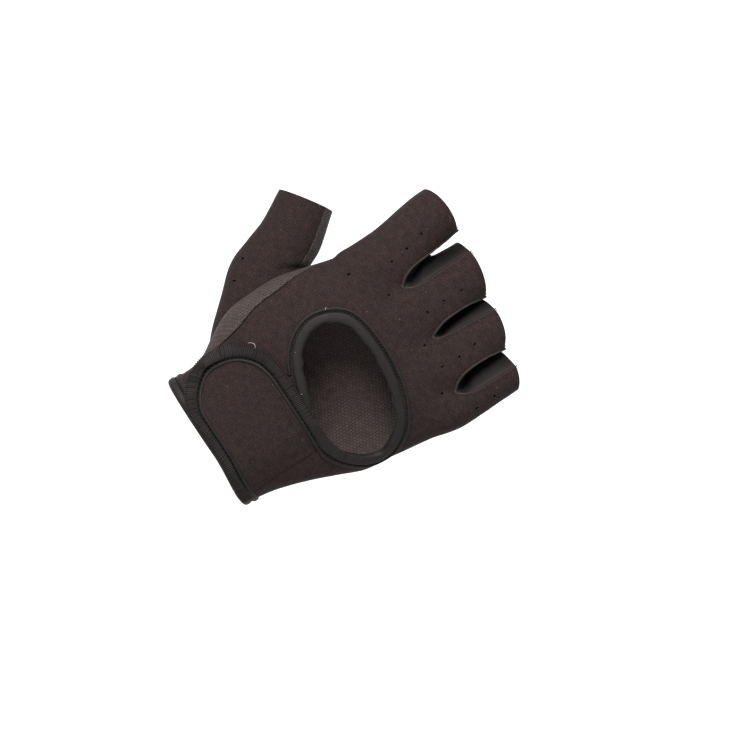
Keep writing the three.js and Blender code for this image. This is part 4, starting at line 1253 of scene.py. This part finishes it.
# %% Hem
def hem_ring(y, count):
    """Frames round the wrist's opening."""
    degrees = np.linspace(0, 360, count, endpoint=False)
    points = body_point(degrees, np.full(count, float(y)))
    points[:, 1] -= root_drop(points[:, 0])
    points = resample(points, closed_lengths(points)[-1] / count, closed=True)
    across = np.tile([0.0, 1.0, 0.0], (count, 1))
    along = frames_along(points, across, closed=True)["along"]
    up = unit(np.cross(across, along))
    flip = np.sum(up * points * [1, 0, 1], axis=1).mean() < 0
    return {"point": points, "across": across, "up": -up if flip else up, "along": along}


def hem(name, y, half_width, half_height, lift, seed):
    f = hem_ring(y, 360)
    run = closed_lengths(f["point"])[:-1]
    wave = 0.06 * (path_noise(run, 9, seed) + 0.4 * path_noise(run, 3, seed + 1))
    profile = oval(360, half_width + wave, half_height + wave, 24, lift, 0.85)
    return sweep(name, f, profile, closed=True)


wrist_hem_roll = hem("wrist_hem_roll", HEM_Y - 0.35, 2.25, HEM_THICKNESS / 2, -NEOPRENE / 2, 61)
wrist_hem_fold = hem("wrist_hem_fold", 6.35, 1.75, 1.45, -0.75, 63)
print("hem", len(wrist_hem_roll.data.polygons) + len(wrist_hem_fold.data.polygons), "faces")

# %% [markdown]
# ## Cloths
#
# All patterns read the flat cloth coordinate of their piece, in metres, so a rib is as wide on the
# thumb as on the back. Colours are sRGB values that one function turns to linear ones, and the
# shader's plain numbers sit on its own sockets.


# %% Material helpers
def linear(hex_colour):
    channels = [int(hex_colour[k:k + 2], 16) / 255 for k in (0, 2, 4)]
    return [c / 12.92 if c <= 0.04045 else ((c + 0.055) / 1.055) ** 2.4 for c in channels] + [1.0]


def add(tree, kind, inputs=None, **settings):
    """A node with its settings; inputs maps a socket to a value or to the socket that feeds it."""
    node = tree.nodes.new(kind)
    for key, value in settings.items():
        setattr(node, key, value)
    for socket, value in (inputs or {}).items():
        if isinstance(value, bpy.types.NodeSocket):
            tree.links.new(value, node.inputs[socket])
        else:
            node.inputs[socket].default_value = value
    return node


def new_cloth(name, roughness, sheen, sheen_roughness=0.5, specular=0.5):
    material = bpy.data.materials.new(name)
    material.use_nodes = True
    tree = material.node_tree
    shader = tree.nodes["Principled BSDF"]
    shader.inputs["Roughness"].default_value = roughness
    shader.inputs["IOR"].default_value = 1.5
    shader.inputs["Specular IOR Level"].default_value = specular
    shader.inputs["Sheen Weight"].default_value = sheen
    shader.inputs["Sheen Roughness"].default_value = sheen_roughness
    return material, tree, shader


def wave_scale(pitch_mm):
    """Blender's bands repeat every 0.314 units at scale 1."""
    return 0.1 * math.pi / (pitch_mm * MM)


def shades(tree, value, stops):
    """A colour for each height of the value, through stops of a place and a colour."""
    node = add(tree, "ShaderNodeValToRGB", {"Fac": value})
    for k, (place, colour) in enumerate(stops):
        stop = node.color_ramp.elements[k] if k < 2 else node.color_ramp.elements.new(place)
        stop.position, stop.color = place, linear(colour)
    return node.outputs["Color"]


def weighted_sum(tree, parts):
    """Adds up patterns, each times its weight."""
    total = 0.0
    for pattern, weight in parts:
        node = add(tree, "ShaderNodeMath", {0: pattern, 1: weight, 2: total}, operation="MULTIPLY_ADD")
        total = node.outputs[0]
    return total


def lint(tree, uv, colour, cell_mm, share, size):
    """Pale specks of dust and fibre: a few of the cells of a Voronoi pattern hold one."""
    cells = add(tree, "ShaderNodeTexVoronoi", {"Vector": uv, "Scale": 1 / (cell_mm * MM)})
    small = add(tree, "ShaderNodeMath", {0: cells.outputs["Distance"], 1: size}, operation="LESS_THAN")
    red = add(tree, "ShaderNodeSeparateColor", {"Color": cells.outputs["Color"]}).outputs[0]
    few = add(tree, "ShaderNodeMath", {0: red, 1: 1 - share}, operation="GREATER_THAN")
    both = add(tree, "ShaderNodeMath", {0: small.outputs[0], 1: few.outputs[0]}, operation="MULTIPLY")
    faint = weighted_sum(tree, [(both.outputs[0], 0.35)])
    specks = {0: faint, 6: colour, 7: linear("B9B2AE")}
    return add(tree, "ShaderNodeMix", specks, data_type="RGBA").outputs[2]


def finish_cloth(tree, shader, colour, height, depth_mm):
    """Gives the shader its colour, and the relief of a height that is so many millimetres deep."""
    bump = add(tree, "ShaderNodeBump", {"Height": height, "Distance": depth_mm * MM, "Strength": 1.0})
    tree.links.new(colour, shader.inputs["Base Color"])
    tree.links.new(bump.outputs["Normal"], shader.inputs["Normal"])


# %% [markdown]
# ### Knit-faced neoprene
#
# The back, the thumb and the strap's tab are foam rubber with a nylon jersey glued to it. Close up it
# shows a fine diagonal rib about a millimetre wide, made of little stitches, and it catches a few pale
# fibres. The jersey is warm black and quite matt, with a soft sheen where it turns away.

# %% Knit-faced neoprene
knit_neoprene, tree, shader = new_cloth("knit_faced_neoprene", 0.85, 0.03, 0.4, 0.14)
uv = add(tree, "ShaderNodeUVMap", uv_map="cloth").outputs["UV"]
rib = add(tree, "ShaderNodeTexWave", {"Vector": uv, "Scale": wave_scale(0.98), "Distortion": 2.2,
                                      "Detail": 2.0, "Detail Scale": 2.4},
          wave_type="BANDS", bands_direction="Y")
loop = add(tree, "ShaderNodeTexWave", {"Vector": uv, "Scale": wave_scale(0.9), "Distortion": 2.0,
                                       "Detail": 1.0, "Detail Scale": 2.0},
           wave_type="BANDS", bands_direction="X")
fuzz = add(tree, "ShaderNodeTexNoise", {"Vector": uv, "Scale": 1 / (0.8 * MM), "Detail": 2.0})
mottle = add(tree, "ShaderNodeTexNoise", {"Vector": uv, "Scale": 1 / (3.2 * MM), "Detail": 4.0})
height = weighted_sum(tree, [(rib.outputs["Fac"], 0.34), (loop.outputs["Fac"], 0.14),
                             (fuzz.outputs["Fac"], 0.75)])
cloud = shades(tree, mottle.outputs["Fac"], [(0.3, "150D0D"), (0.75, "322524")])
colour = shades(tree, height, [(0.3, "0C0707"), (0.62, "201716"), (0.95, "3D2F2E")])
colour = add(tree, "ShaderNodeMix", {0: 0.4, 6: colour, 7: cloud}, data_type="RGBA").outputs[2]
finish_cloth(tree, shader, lint(tree, uv, colour, 2.6, 0.06, 0.055), height, 0.09)
print(knit_neoprene.name, len(tree.nodes), "nodes")

# %% [markdown]
# ### Grip cloth
#
# The palm cloth comes round to the back as a narrow strip beside the thumb. It is a grey woven cloth
# with a fine brick grid pressed into it: small raised pads about 1.9 mm long with dark lines between.

# %% Grip cloth
grip_cloth, tree, shader = new_cloth("woven_grip_cloth", 0.75, 0.04, 0.4, 0.2)
uv = add(tree, "ShaderNodeUVMap", uv_map="cloth").outputs["UV"]
turned = add(tree, "ShaderNodeMapping", {"Vector": uv, "Rotation": (0, 0, math.radians(84))})
grid = add(tree, "ShaderNodeTexBrick", {
    "Vector": turned.outputs[0], "Color1": (1, 1, 1, 1), "Color2": (0.8, 0.8, 0.8, 1),
    "Mortar": (0, 0, 0, 1), "Scale": 1.0, "Mortar Size": 0.16 * MM, "Mortar Smooth": 0.3,
    "Brick Width": 1.9 * MM, "Row Height": 1.4 * MM})
yarn = add(tree, "ShaderNodeTexWave", {"Vector": uv, "Scale": wave_scale(0.33), "Distortion": 0.6},
           wave_type="BANDS", bands_direction="X")
mottle = add(tree, "ShaderNodeTexNoise", {"Vector": uv, "Scale": 1 / (3.5 * MM), "Detail": 3.0})
pads = add(tree, "ShaderNodeSeparateColor", {"Color": grid.outputs["Color"]}).outputs[0]
height = weighted_sum(tree, [(pads, 0.8), (yarn.outputs["Fac"], 0.2)])
cloud = shades(tree, mottle.outputs["Fac"], [(0.3, "2D2524"), (0.75, "4A403E")])
colour = shades(tree, height, [(0.05, "171211"), (0.7, "352C2A"), (1.0, "4A403C")])
colour = add(tree, "ShaderNodeMix", {0: 0.3, 6: colour, 7: cloud}, data_type="RGBA").outputs[2]
finish_cloth(tree, shader, colour, height, 0.16)
print(grip_cloth.name, len(tree.nodes), "nodes")

# %% [markdown]
# ### Stretch cloth, elastic, tape and thread
#
# The walls between the fingers are lycra: near black and a little shiny along its fine lengthwise
# ribs. The strap's elastic is plainer, since its ribs are modelled. The window's tape is smooth and
# slightly glossy, with a hint of its lengthwise yarns.

# %% Stretch cloth
stretch_cloth, tree, shader = new_cloth("lycra", 0.6, 0.02, 0.3, 0.14)
uv = add(tree, "ShaderNodeUVMap", uv_map="cloth").outputs["UV"]
wale = add(tree, "ShaderNodeTexWave", {"Vector": uv, "Scale": wave_scale(0.5), "Distortion": 0.5},
           wave_type="BANDS", bands_direction="X")
shade = add(tree, "ShaderNodeTexNoise", {"Vector": uv, "Scale": 1 / (6 * MM), "Detail": 2.0})
tone = shades(tree, shade.outputs["Fac"], [(0.3, "060504"), (0.8, "0F0C0B")])
# Painted light and shade: by its distance down the wall, the lycra is dark where it tucks under the edge,
# lighter just below the seam and dark again deeper in the slit, where shade falls.
down = add(tree, "ShaderNodeSeparateXYZ", {"Vector": uv}).outputs["Y"]
depth = weighted_sum(tree, [(down, 1 / (6 * MM))])
painted_slit_light_and_shade = shades(tree, depth, [(0.26, "060504"), (0.31, "2A2421"), (0.5, "191412"), (0.9, "070505")])
colour = add(tree, "ShaderNodeMix", {0: 0.8, 6: tone, 7: painted_slit_light_and_shade}, data_type="RGBA").outputs[2]
finish_cloth(tree, shader, colour, wale.outputs["Fac"], 0.04)
print(stretch_cloth.name, len(tree.nodes), "nodes")


# %% Tape and elastic
def tape(name, dark, light, roughness, yarn_mm, direction, depth, rib_mm=0):
    """rib_mm is the pitch of modelled ribs, whose valleys get painted shade: a darker colour where shade
    falls.
    """
    material, tree, shader = new_cloth(name, roughness, 0.04, 0.35, 0.22)
    uv = add(tree, "ShaderNodeUVMap", uv_map="cloth").outputs["UV"]
    yarn = add(tree, "ShaderNodeTexWave", {"Vector": uv, "Scale": wave_scale(yarn_mm),
                                           "Distortion": 0.8, "Detail": 1.0, "Detail Scale": 3.0},
               wave_type="BANDS", bands_direction=direction)
    fuzz = add(tree, "ShaderNodeTexNoise", {"Vector": uv, "Scale": 1 / (0.4 * MM), "Detail": 2.0})
    mottle = add(tree, "ShaderNodeTexNoise", {"Vector": uv, "Scale": 1 / (5 * MM), "Detail": 2.0})
    height = weighted_sum(tree, [(yarn.outputs["Fac"], 0.6), (fuzz.outputs["Fac"], 0.5)])
    tone = weighted_sum(tree, [(height, 0.55), (mottle.outputs["Fac"], 0.45)])
    colour = shades(tree, tone, [(0.3, dark), (0.75, light)])
    if rib_mm:
        rib = add(tree, "ShaderNodeTexWave", {"Vector": uv, "Scale": wave_scale(rib_mm), "Distortion": 0.0,
                                              "Phase Offset": math.pi},
                  wave_type="BANDS", bands_direction="Y")
        # Painted shade: the colour is darkened in the valleys between the modelled ribs.
        painted_rib_shade = shades(tree, rib.outputs["Fac"], [(0.1, "3C3836"), (0.8, "FFFFFF")])
        colour = add(tree, "ShaderNodeMix", {0: 0.8, 6: colour, 7: painted_rib_shade},
                     data_type="RGBA", blend_type="MULTIPLY").outputs[2]
    finish_cloth(tree, shader, lint(tree, uv, colour, 3.2, 0.05, 0.045), height, depth)
    return material


edge_tape = tape("stretch_binding_tape", "0B0808", "1D1716", 0.6, 0.45, "X", 0.04)
roll_tape = tape("rolled_edge_jersey", "181110", "382D2B", 0.7, 0.55, "Y", 0.05)
elastic = tape("ribbed_elastic", "0B0707", "2A2220", 0.65, 0.4, "X", 0.06, RIB_PITCH)


def thread(name, dark, light, roughness):
    material, tree, shader = new_cloth(name, roughness, 0.03, 0.4, 0.2)
    ply = add(tree, "ShaderNodeTexWave", {"Vector": add(tree, "ShaderNodeTexCoord").outputs["Object"],
                                          "Scale": wave_scale(0.3), "Distortion": 1.0},
              wave_type="BANDS", bands_direction="DIAGONAL")
    tone = shades(tree, ply.outputs["Fac"], [(0.0, dark), (1.0, light)])
    finish_cloth(tree, shader, tone, ply.outputs["Fac"], 0.03)
    return material


dark_thread = thread("polyester_thread_black", "080607", "1B1817", 0.7)
pale_thread = thread("cotton_thread_natural", "A19B96", "CFC9C3", 0.8)
print("tapes and threads:", edge_tape.name, roll_tape.name, elastic.name, dark_thread.name)


# %% Dress the pieces
def dress(material, *pieces):
    for piece in pieces:
        piece.data.materials.clear()
        piece.data.materials.append(material)


dress(knit_neoprene, back_panel, thumb_back, tab)
dress(grip_cloth, palm_panel, thumb_palm)
dress(stretch_cloth, *fourchettes)
dress(edge_tape, window_binding_tape, window_piping_roll, strap_piping_roll)
dress(edge_tape, wrist_hem_roll, wrist_hem_fold)
dress(roll_tape, *slit_rolls, side_seam_roll)
dress(elastic, band)

# %% [markdown]
# ## Stitches
#
# A seam is one small shape repeated along a path, which is what Geometry Nodes are good at. The tree
# takes a path and spaces short thread ends along it, each turned to the path and a little out of line.
# The numbers are named inputs, so the same tree sews the window, the strap, the side seam and the slits.


# %% The stitch tree
def stitch_tree():
    tree = bpy.data.node_groups.new("sewn_row", "GeometryNodeTree")
    face = tree.interface
    face.new_socket("Path", in_out="INPUT", socket_type="NodeSocketGeometry")
    for name in ("Pitch", "Stitch Length", "Thread Radius", "Wander"):
        face.new_socket(name, in_out="INPUT", socket_type="NodeSocketFloat")
    face.new_socket("Seed", in_out="INPUT", socket_type="NodeSocketInt")
    face.new_socket("Thread", in_out="INPUT", socket_type="NodeSocketMaterial")
    face.new_socket("Stitches", in_out="OUTPUT", socket_type="NodeSocketGeometry")
    given = add(tree, "NodeGroupInput").outputs
    curve = add(tree, "GeometryNodeMeshToCurve", {"Mesh": given["Path"]})
    even = add(tree, "GeometryNodeResampleCurve", {"Curve": curve.outputs["Curve"],
                                                   "Length": given["Pitch"]}, mode="LENGTH")
    tangent = add(tree, "GeometryNodeInputTangent").outputs["Tangent"]
    turned = add(tree, "FunctionNodeAlignRotationToVector", {"Vector": tangent}, axis="X")
    ball = add(tree, "GeometryNodeMeshUVSphere", {"Segments": 8, "Rings": 6, "Radius": 1.0})
    half = add(tree, "ShaderNodeMath", {0: given["Stitch Length"], 1: 0.5}, operation="MULTIPLY")
    size = add(tree, "ShaderNodeCombineXYZ", {"X": half.outputs[0], "Y": given["Thread Radius"],
                                              "Z": given["Thread Radius"]})
    stitch = add(tree, "GeometryNodeTransform", {"Geometry": ball.outputs["Mesh"],
                                                 "Scale": size.outputs[0]})
    placed = add(tree, "GeometryNodeInstanceOnPoints", {
        "Points": even.outputs["Curve"], "Instance": stitch.outputs["Geometry"],
        "Rotation": turned.outputs["Rotation"]})
    less = add(tree, "ShaderNodeMath", {0: given["Wander"], 1: -1.0}, operation="MULTIPLY")
    skew = add(tree, "FunctionNodeRandomValue", {0: less.outputs[0], 1: given["Wander"],
                                                 "Seed": given["Seed"]}, data_type="FLOAT_VECTOR")
    loose = add(tree, "GeometryNodeRotateInstances", {"Instances": placed.outputs["Instances"],
                                                      "Rotation": skew.outputs[0]})
    real = add(tree, "GeometryNodeRealizeInstances", {"Geometry": loose.outputs["Instances"]})
    sewn = add(tree, "GeometryNodeSetMaterial", {"Geometry": real.outputs["Geometry"],
                                                 "Material": given["Thread"]})
    add(tree, "NodeGroupOutput", {"Stitches": sewn.outputs["Geometry"]})
    return tree


SEWN_ROW = stitch_tree()


def sew(name, paths, pitch, length, radius, seed):
    """One mesh of stitches along open paths given in millimetres."""
    points = np.concatenate(paths)
    edges, start = [], 0
    for path in paths:
        edges += [(start + k, start + k + 1) for k in range(len(path) - 1)]
        start += len(path)
    mesh = bpy.data.meshes.new(name)
    mesh.from_pydata((points * MM).tolist(), edges, [])
    obj = link(name, mesh)
    modifier = obj.modifiers.new("sewn_row", "NODES")
    modifier.node_group = SEWN_ROW
    values = {"Pitch": pitch * MM, "Stitch Length": length * MM, "Thread Radius": radius * MM,
              "Wander": 0.1, "Seed": seed, "Thread": dark_thread}
    for item in SEWN_ROW.interface.items_tree:
        if item.in_out == "INPUT" and item.name in values:
            modifier[item.identifier] = values[item.name]
    apply_modifier(obj, modifier)
    return tidy(obj, 80)


# %% Sew the seams
def closed_row(frames, across, up):
    """The path beside a closed one, ending where it starts."""
    row = frames["point"] + frames["across"] * across + frames["up"] * up
    return np.concatenate([row, row[:1]])


window_row = closed_row(window_rail(400, BINDING_WIDTH / 2), 2.95, 0.12)
window_stitches = sew("window_stitches", [window_row], 1.6, 1.3, 0.36, seed=2)

ROW_LINE = [(x, y + 0.87) for x, y in ROLL_LINE]
frames = strap_path(0.12, ROW_LINE, 27.5, 0.5)
strap_row = frames["point"] + frames["up"] * (strap_height(frames["point"][:, 0])[:, None] - 0.2)
root_y = np.linspace(STRAP["high"] - 3.2, STRAP["low"] + 2.2, 60)
root = on_back(np.linspace(31.5, 29.6, 60), root_y)
root = root + body_normal(root) * 0.3
strap_stitches = sew("strap_stitches", [strap_row, root], 2.1, 1.35, 0.22, seed=3)

side_v = np.linspace(0.03, 1.86, 240)
side_share = 0.012 + 0 * side_v
side_path = panel_point(0, side_share, side_v, False)
beside = panel_point(0, side_share + 0.02, side_v, False)
side_up = unit(np.cross(beside - side_path, np.gradient(side_path, axis=0)))
side_path = side_path - side_up * 0.12
side_stitches = sew("side_seam_stitches", [side_path], 1.7, 1.15, 0.17, seed=4)

slit_rows = [slit_frames(k, -1.15, 0.02)["point"] for k in (1, 2, 3)]
for k in (1, 2, 3):
    seam = slit_frames(k, 0.12, -0.2)["point"]
    slit_rows.append(seam[np.argmin(seam[:, 1]) + 5:])
slit_stitches = sew("slit_stitches", slit_rows, 2.2, 1.2, 0.2, seed=5)

hem_row = closed_row(hem_ring(4.75, 300), 0, 0.1)
hem_stitches = sew("hem_stitches", [hem_row], 2.5, 1.5, 0.24, seed=6)
rows = (window_stitches, strap_stitches, side_stitches, slit_stitches, hem_stitches)
print("stitches", sum(len(row.data.polygons) for row in rows), "faces")


# %% Loose thread ends
def thread_end(x, y, lift, heading, length, seed):
    """A short curly end of thread lying on the cloth."""
    rng = np.random.default_rng(seed)
    count = 26
    turn = np.cumsum(rng.normal(-0.09, 0.2, count)) + math.radians(heading)
    flat = np.stack([x + np.cumsum(np.cos(turn)) * length / count,
                     y + np.cumsum(np.sin(turn)) * length / count], axis=1)
    base = on_back(flat[:, 0], flat[:, 1])
    up = body_normal(base)
    hop = lift + 0.5 * np.abs(np.sin(np.linspace(0, 5, count) + seed))
    return frames_along(relax(base + up * hop[:, None], 2), up)


ENDS = [(-27.0, 43.0, 3.2, 75, 5.0, 1), (-20.5, 81.4, 1.6, 200, 1.3, 2), (5.6, 50.7, 1.2, 10, 0.7, 3)]
ends = []
for x, y, lift, heading, length, seed in ENDS:
    f = thread_end(x, y, lift, heading, length, seed)
    ends.append(sweep(f"loose_thread_{seed}", f, oval(len(f["point"]), 0.075, 0.075, 6, 0.0, 1.0)))
dress(pale_thread, *ends)
print(len(ends), "thread ends")

# %% [markdown]
# ## Join the dressed pieces to the model
#
# Each piece rides on the model's one body and stands for the plain node it refines. The panels are
# listed with the size they were cut to, and their area is printed beside it.


# %% Ride, replace and list the panels' sizes
dressed = {
    "back_panel": ([back_panel, side_stitches, *slit_rolls, slit_stitches, side_seam_roll],
                   "knit_neoprene"),
    "palm_panel": ([palm_panel], "grip_cloth"),
    "thumb_back": ([thumb_back], "knit_neoprene"),
    "thumb_palm": ([thumb_palm], "grip_cloth"),
    "window_binding": ([window_binding_tape, window_stitches], "binding_cloth"),
    "window_piping": ([window_piping_roll], "binding_cloth"),
    "strap": ([tab, strap_stitches], "knit_neoprene"),
    "strap_binding": ([band], "binding_cloth"),
    "strap_piping": ([strap_piping_roll], "binding_cloth"),
    "wrist_hem": ([wrist_hem_roll, wrist_hem_fold, hem_stitches], "binding_cloth"),
}
for piece, name in zip(fourchettes, WALLS):
    dressed[f"fourchette_{name}"] = ([piece], "stretch_cloth")
for node, (pieces, slot) in dressed.items():
    for piece in pieces:
        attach(piece, "root")
    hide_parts(node)
for piece in ends:
    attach(piece, "root")


def cloth_area(obj):
    """Half of the closed surface, in square metres."""
    return sum(p.area for p in obj.data.polygons) / 2


SHEETS = [
    (back_panel, (0.130, 0.160), 0.0130, [side_stitches, slit_stitches, side_seam_roll, *slit_rolls]),
    (palm_panel, (0.150, 0.155), 0.0145, []),
    (thumb_back, (0.060, 0.085), 0.0025, []),
    (thumb_palm, (0.062, 0.085), 0.0033, []),
    (tab, (0.066, 0.044), 0.0024, [strap_stitches]),
    (fourchettes[0], (0.085, 0.022), 0.00095, []),
    (fourchettes[1], (0.080, 0.022), 0.0009, []),
    (fourchettes[2], (0.080, 0.022), 0.0009, []),
]
for piece, flat, area, others in SHEETS:
    print(piece.name, "measures", round(cloth_area(piece), 5), "m2, cut to", area)

# %% [markdown]
# ## Studio
#
# The glove was photographed from straight above its back, turned so that the fingers point to the
# upper right, under very soft light on white. A bright dome gives the even light, a large lamp from the
# upper left gives the forms a direction, and the floor is far enough down to stay clean.


# %% Floor, light and camera
CAMERA_HEIGHT = 0.840
CAMERA_TURN = 56.5  # degrees by which the fingers point to the right of straight up
FOCAL_LENGTH, SENSOR_WIDTH = 84.67, 36  # millimetres


def floor():
    mesh = bpy.data.meshes.new("floor")
    size, height = 2.5, -0.50
    corners = [(-size, -size, height), (size, -size, height), (size, size, height), (-size, size, height)]
    mesh.from_pydata(corners, [], [(0, 1, 2, 3)])
    obj = link("floor", mesh)
    material, tree, shader = new_cloth("matt_white_paper", 0.9, 0.0)
    grain = add(tree, "ShaderNodeTexNoise", {"Vector": add(tree, "ShaderNodeTexCoord").outputs["Object"],
                                             "Scale": 400.0})
    paper = shades(tree, grain.outputs["Fac"], [(0.0, "F6F6F6"), (1.0, "FCFCFC")])
    tree.links.new(paper, shader.inputs["Base Color"])
    dress(material, obj)
    return obj


def lamp(name, place, target, size, power_w):
    data = bpy.data.lights.new(name, "AREA")
    data.shape, data.size, data.energy = "DISK", size, power_w
    obj = link(name, data)
    obj.location = place
    obj.rotation_euler = (Vector(target) - Vector(place)).to_track_quat("-Z", "Y").to_euler()


floor()
world = bpy.data.worlds.new("white_dome")
world.use_nodes = True
background = world.node_tree.nodes["Background"]
background.inputs["Color"].default_value = (1, 1, 1, 1)
background.inputs["Strength"].default_value = 0.82
bpy.context.scene.world = world
centre = (0.0, 0.08, 0.0)
lamp("key", (-0.55, 0.35, 0.75), centre, 0.5, 14.0)
lamp("fill", (0.5, -0.35, 0.6), centre, 0.6, 1.0)

camera_data = bpy.data.cameras.new("camera")
camera_data.lens, camera_data.sensor_width = FOCAL_LENGTH, SENSOR_WIDTH
camera_data.clip_start, camera_data.clip_end = 0.05, 10
camera = link("camera", camera_data)
camera.location = (0.01729, 0.08392, CAMERA_HEIGHT)
camera.rotation_euler = (0, 0, math.radians(CAMERA_TURN))
bpy.context.scene.camera = camera
bpy.context.scene.view_settings.view_transform = "Standard"
print("camera", [round(c, 4) for c in camera.location])
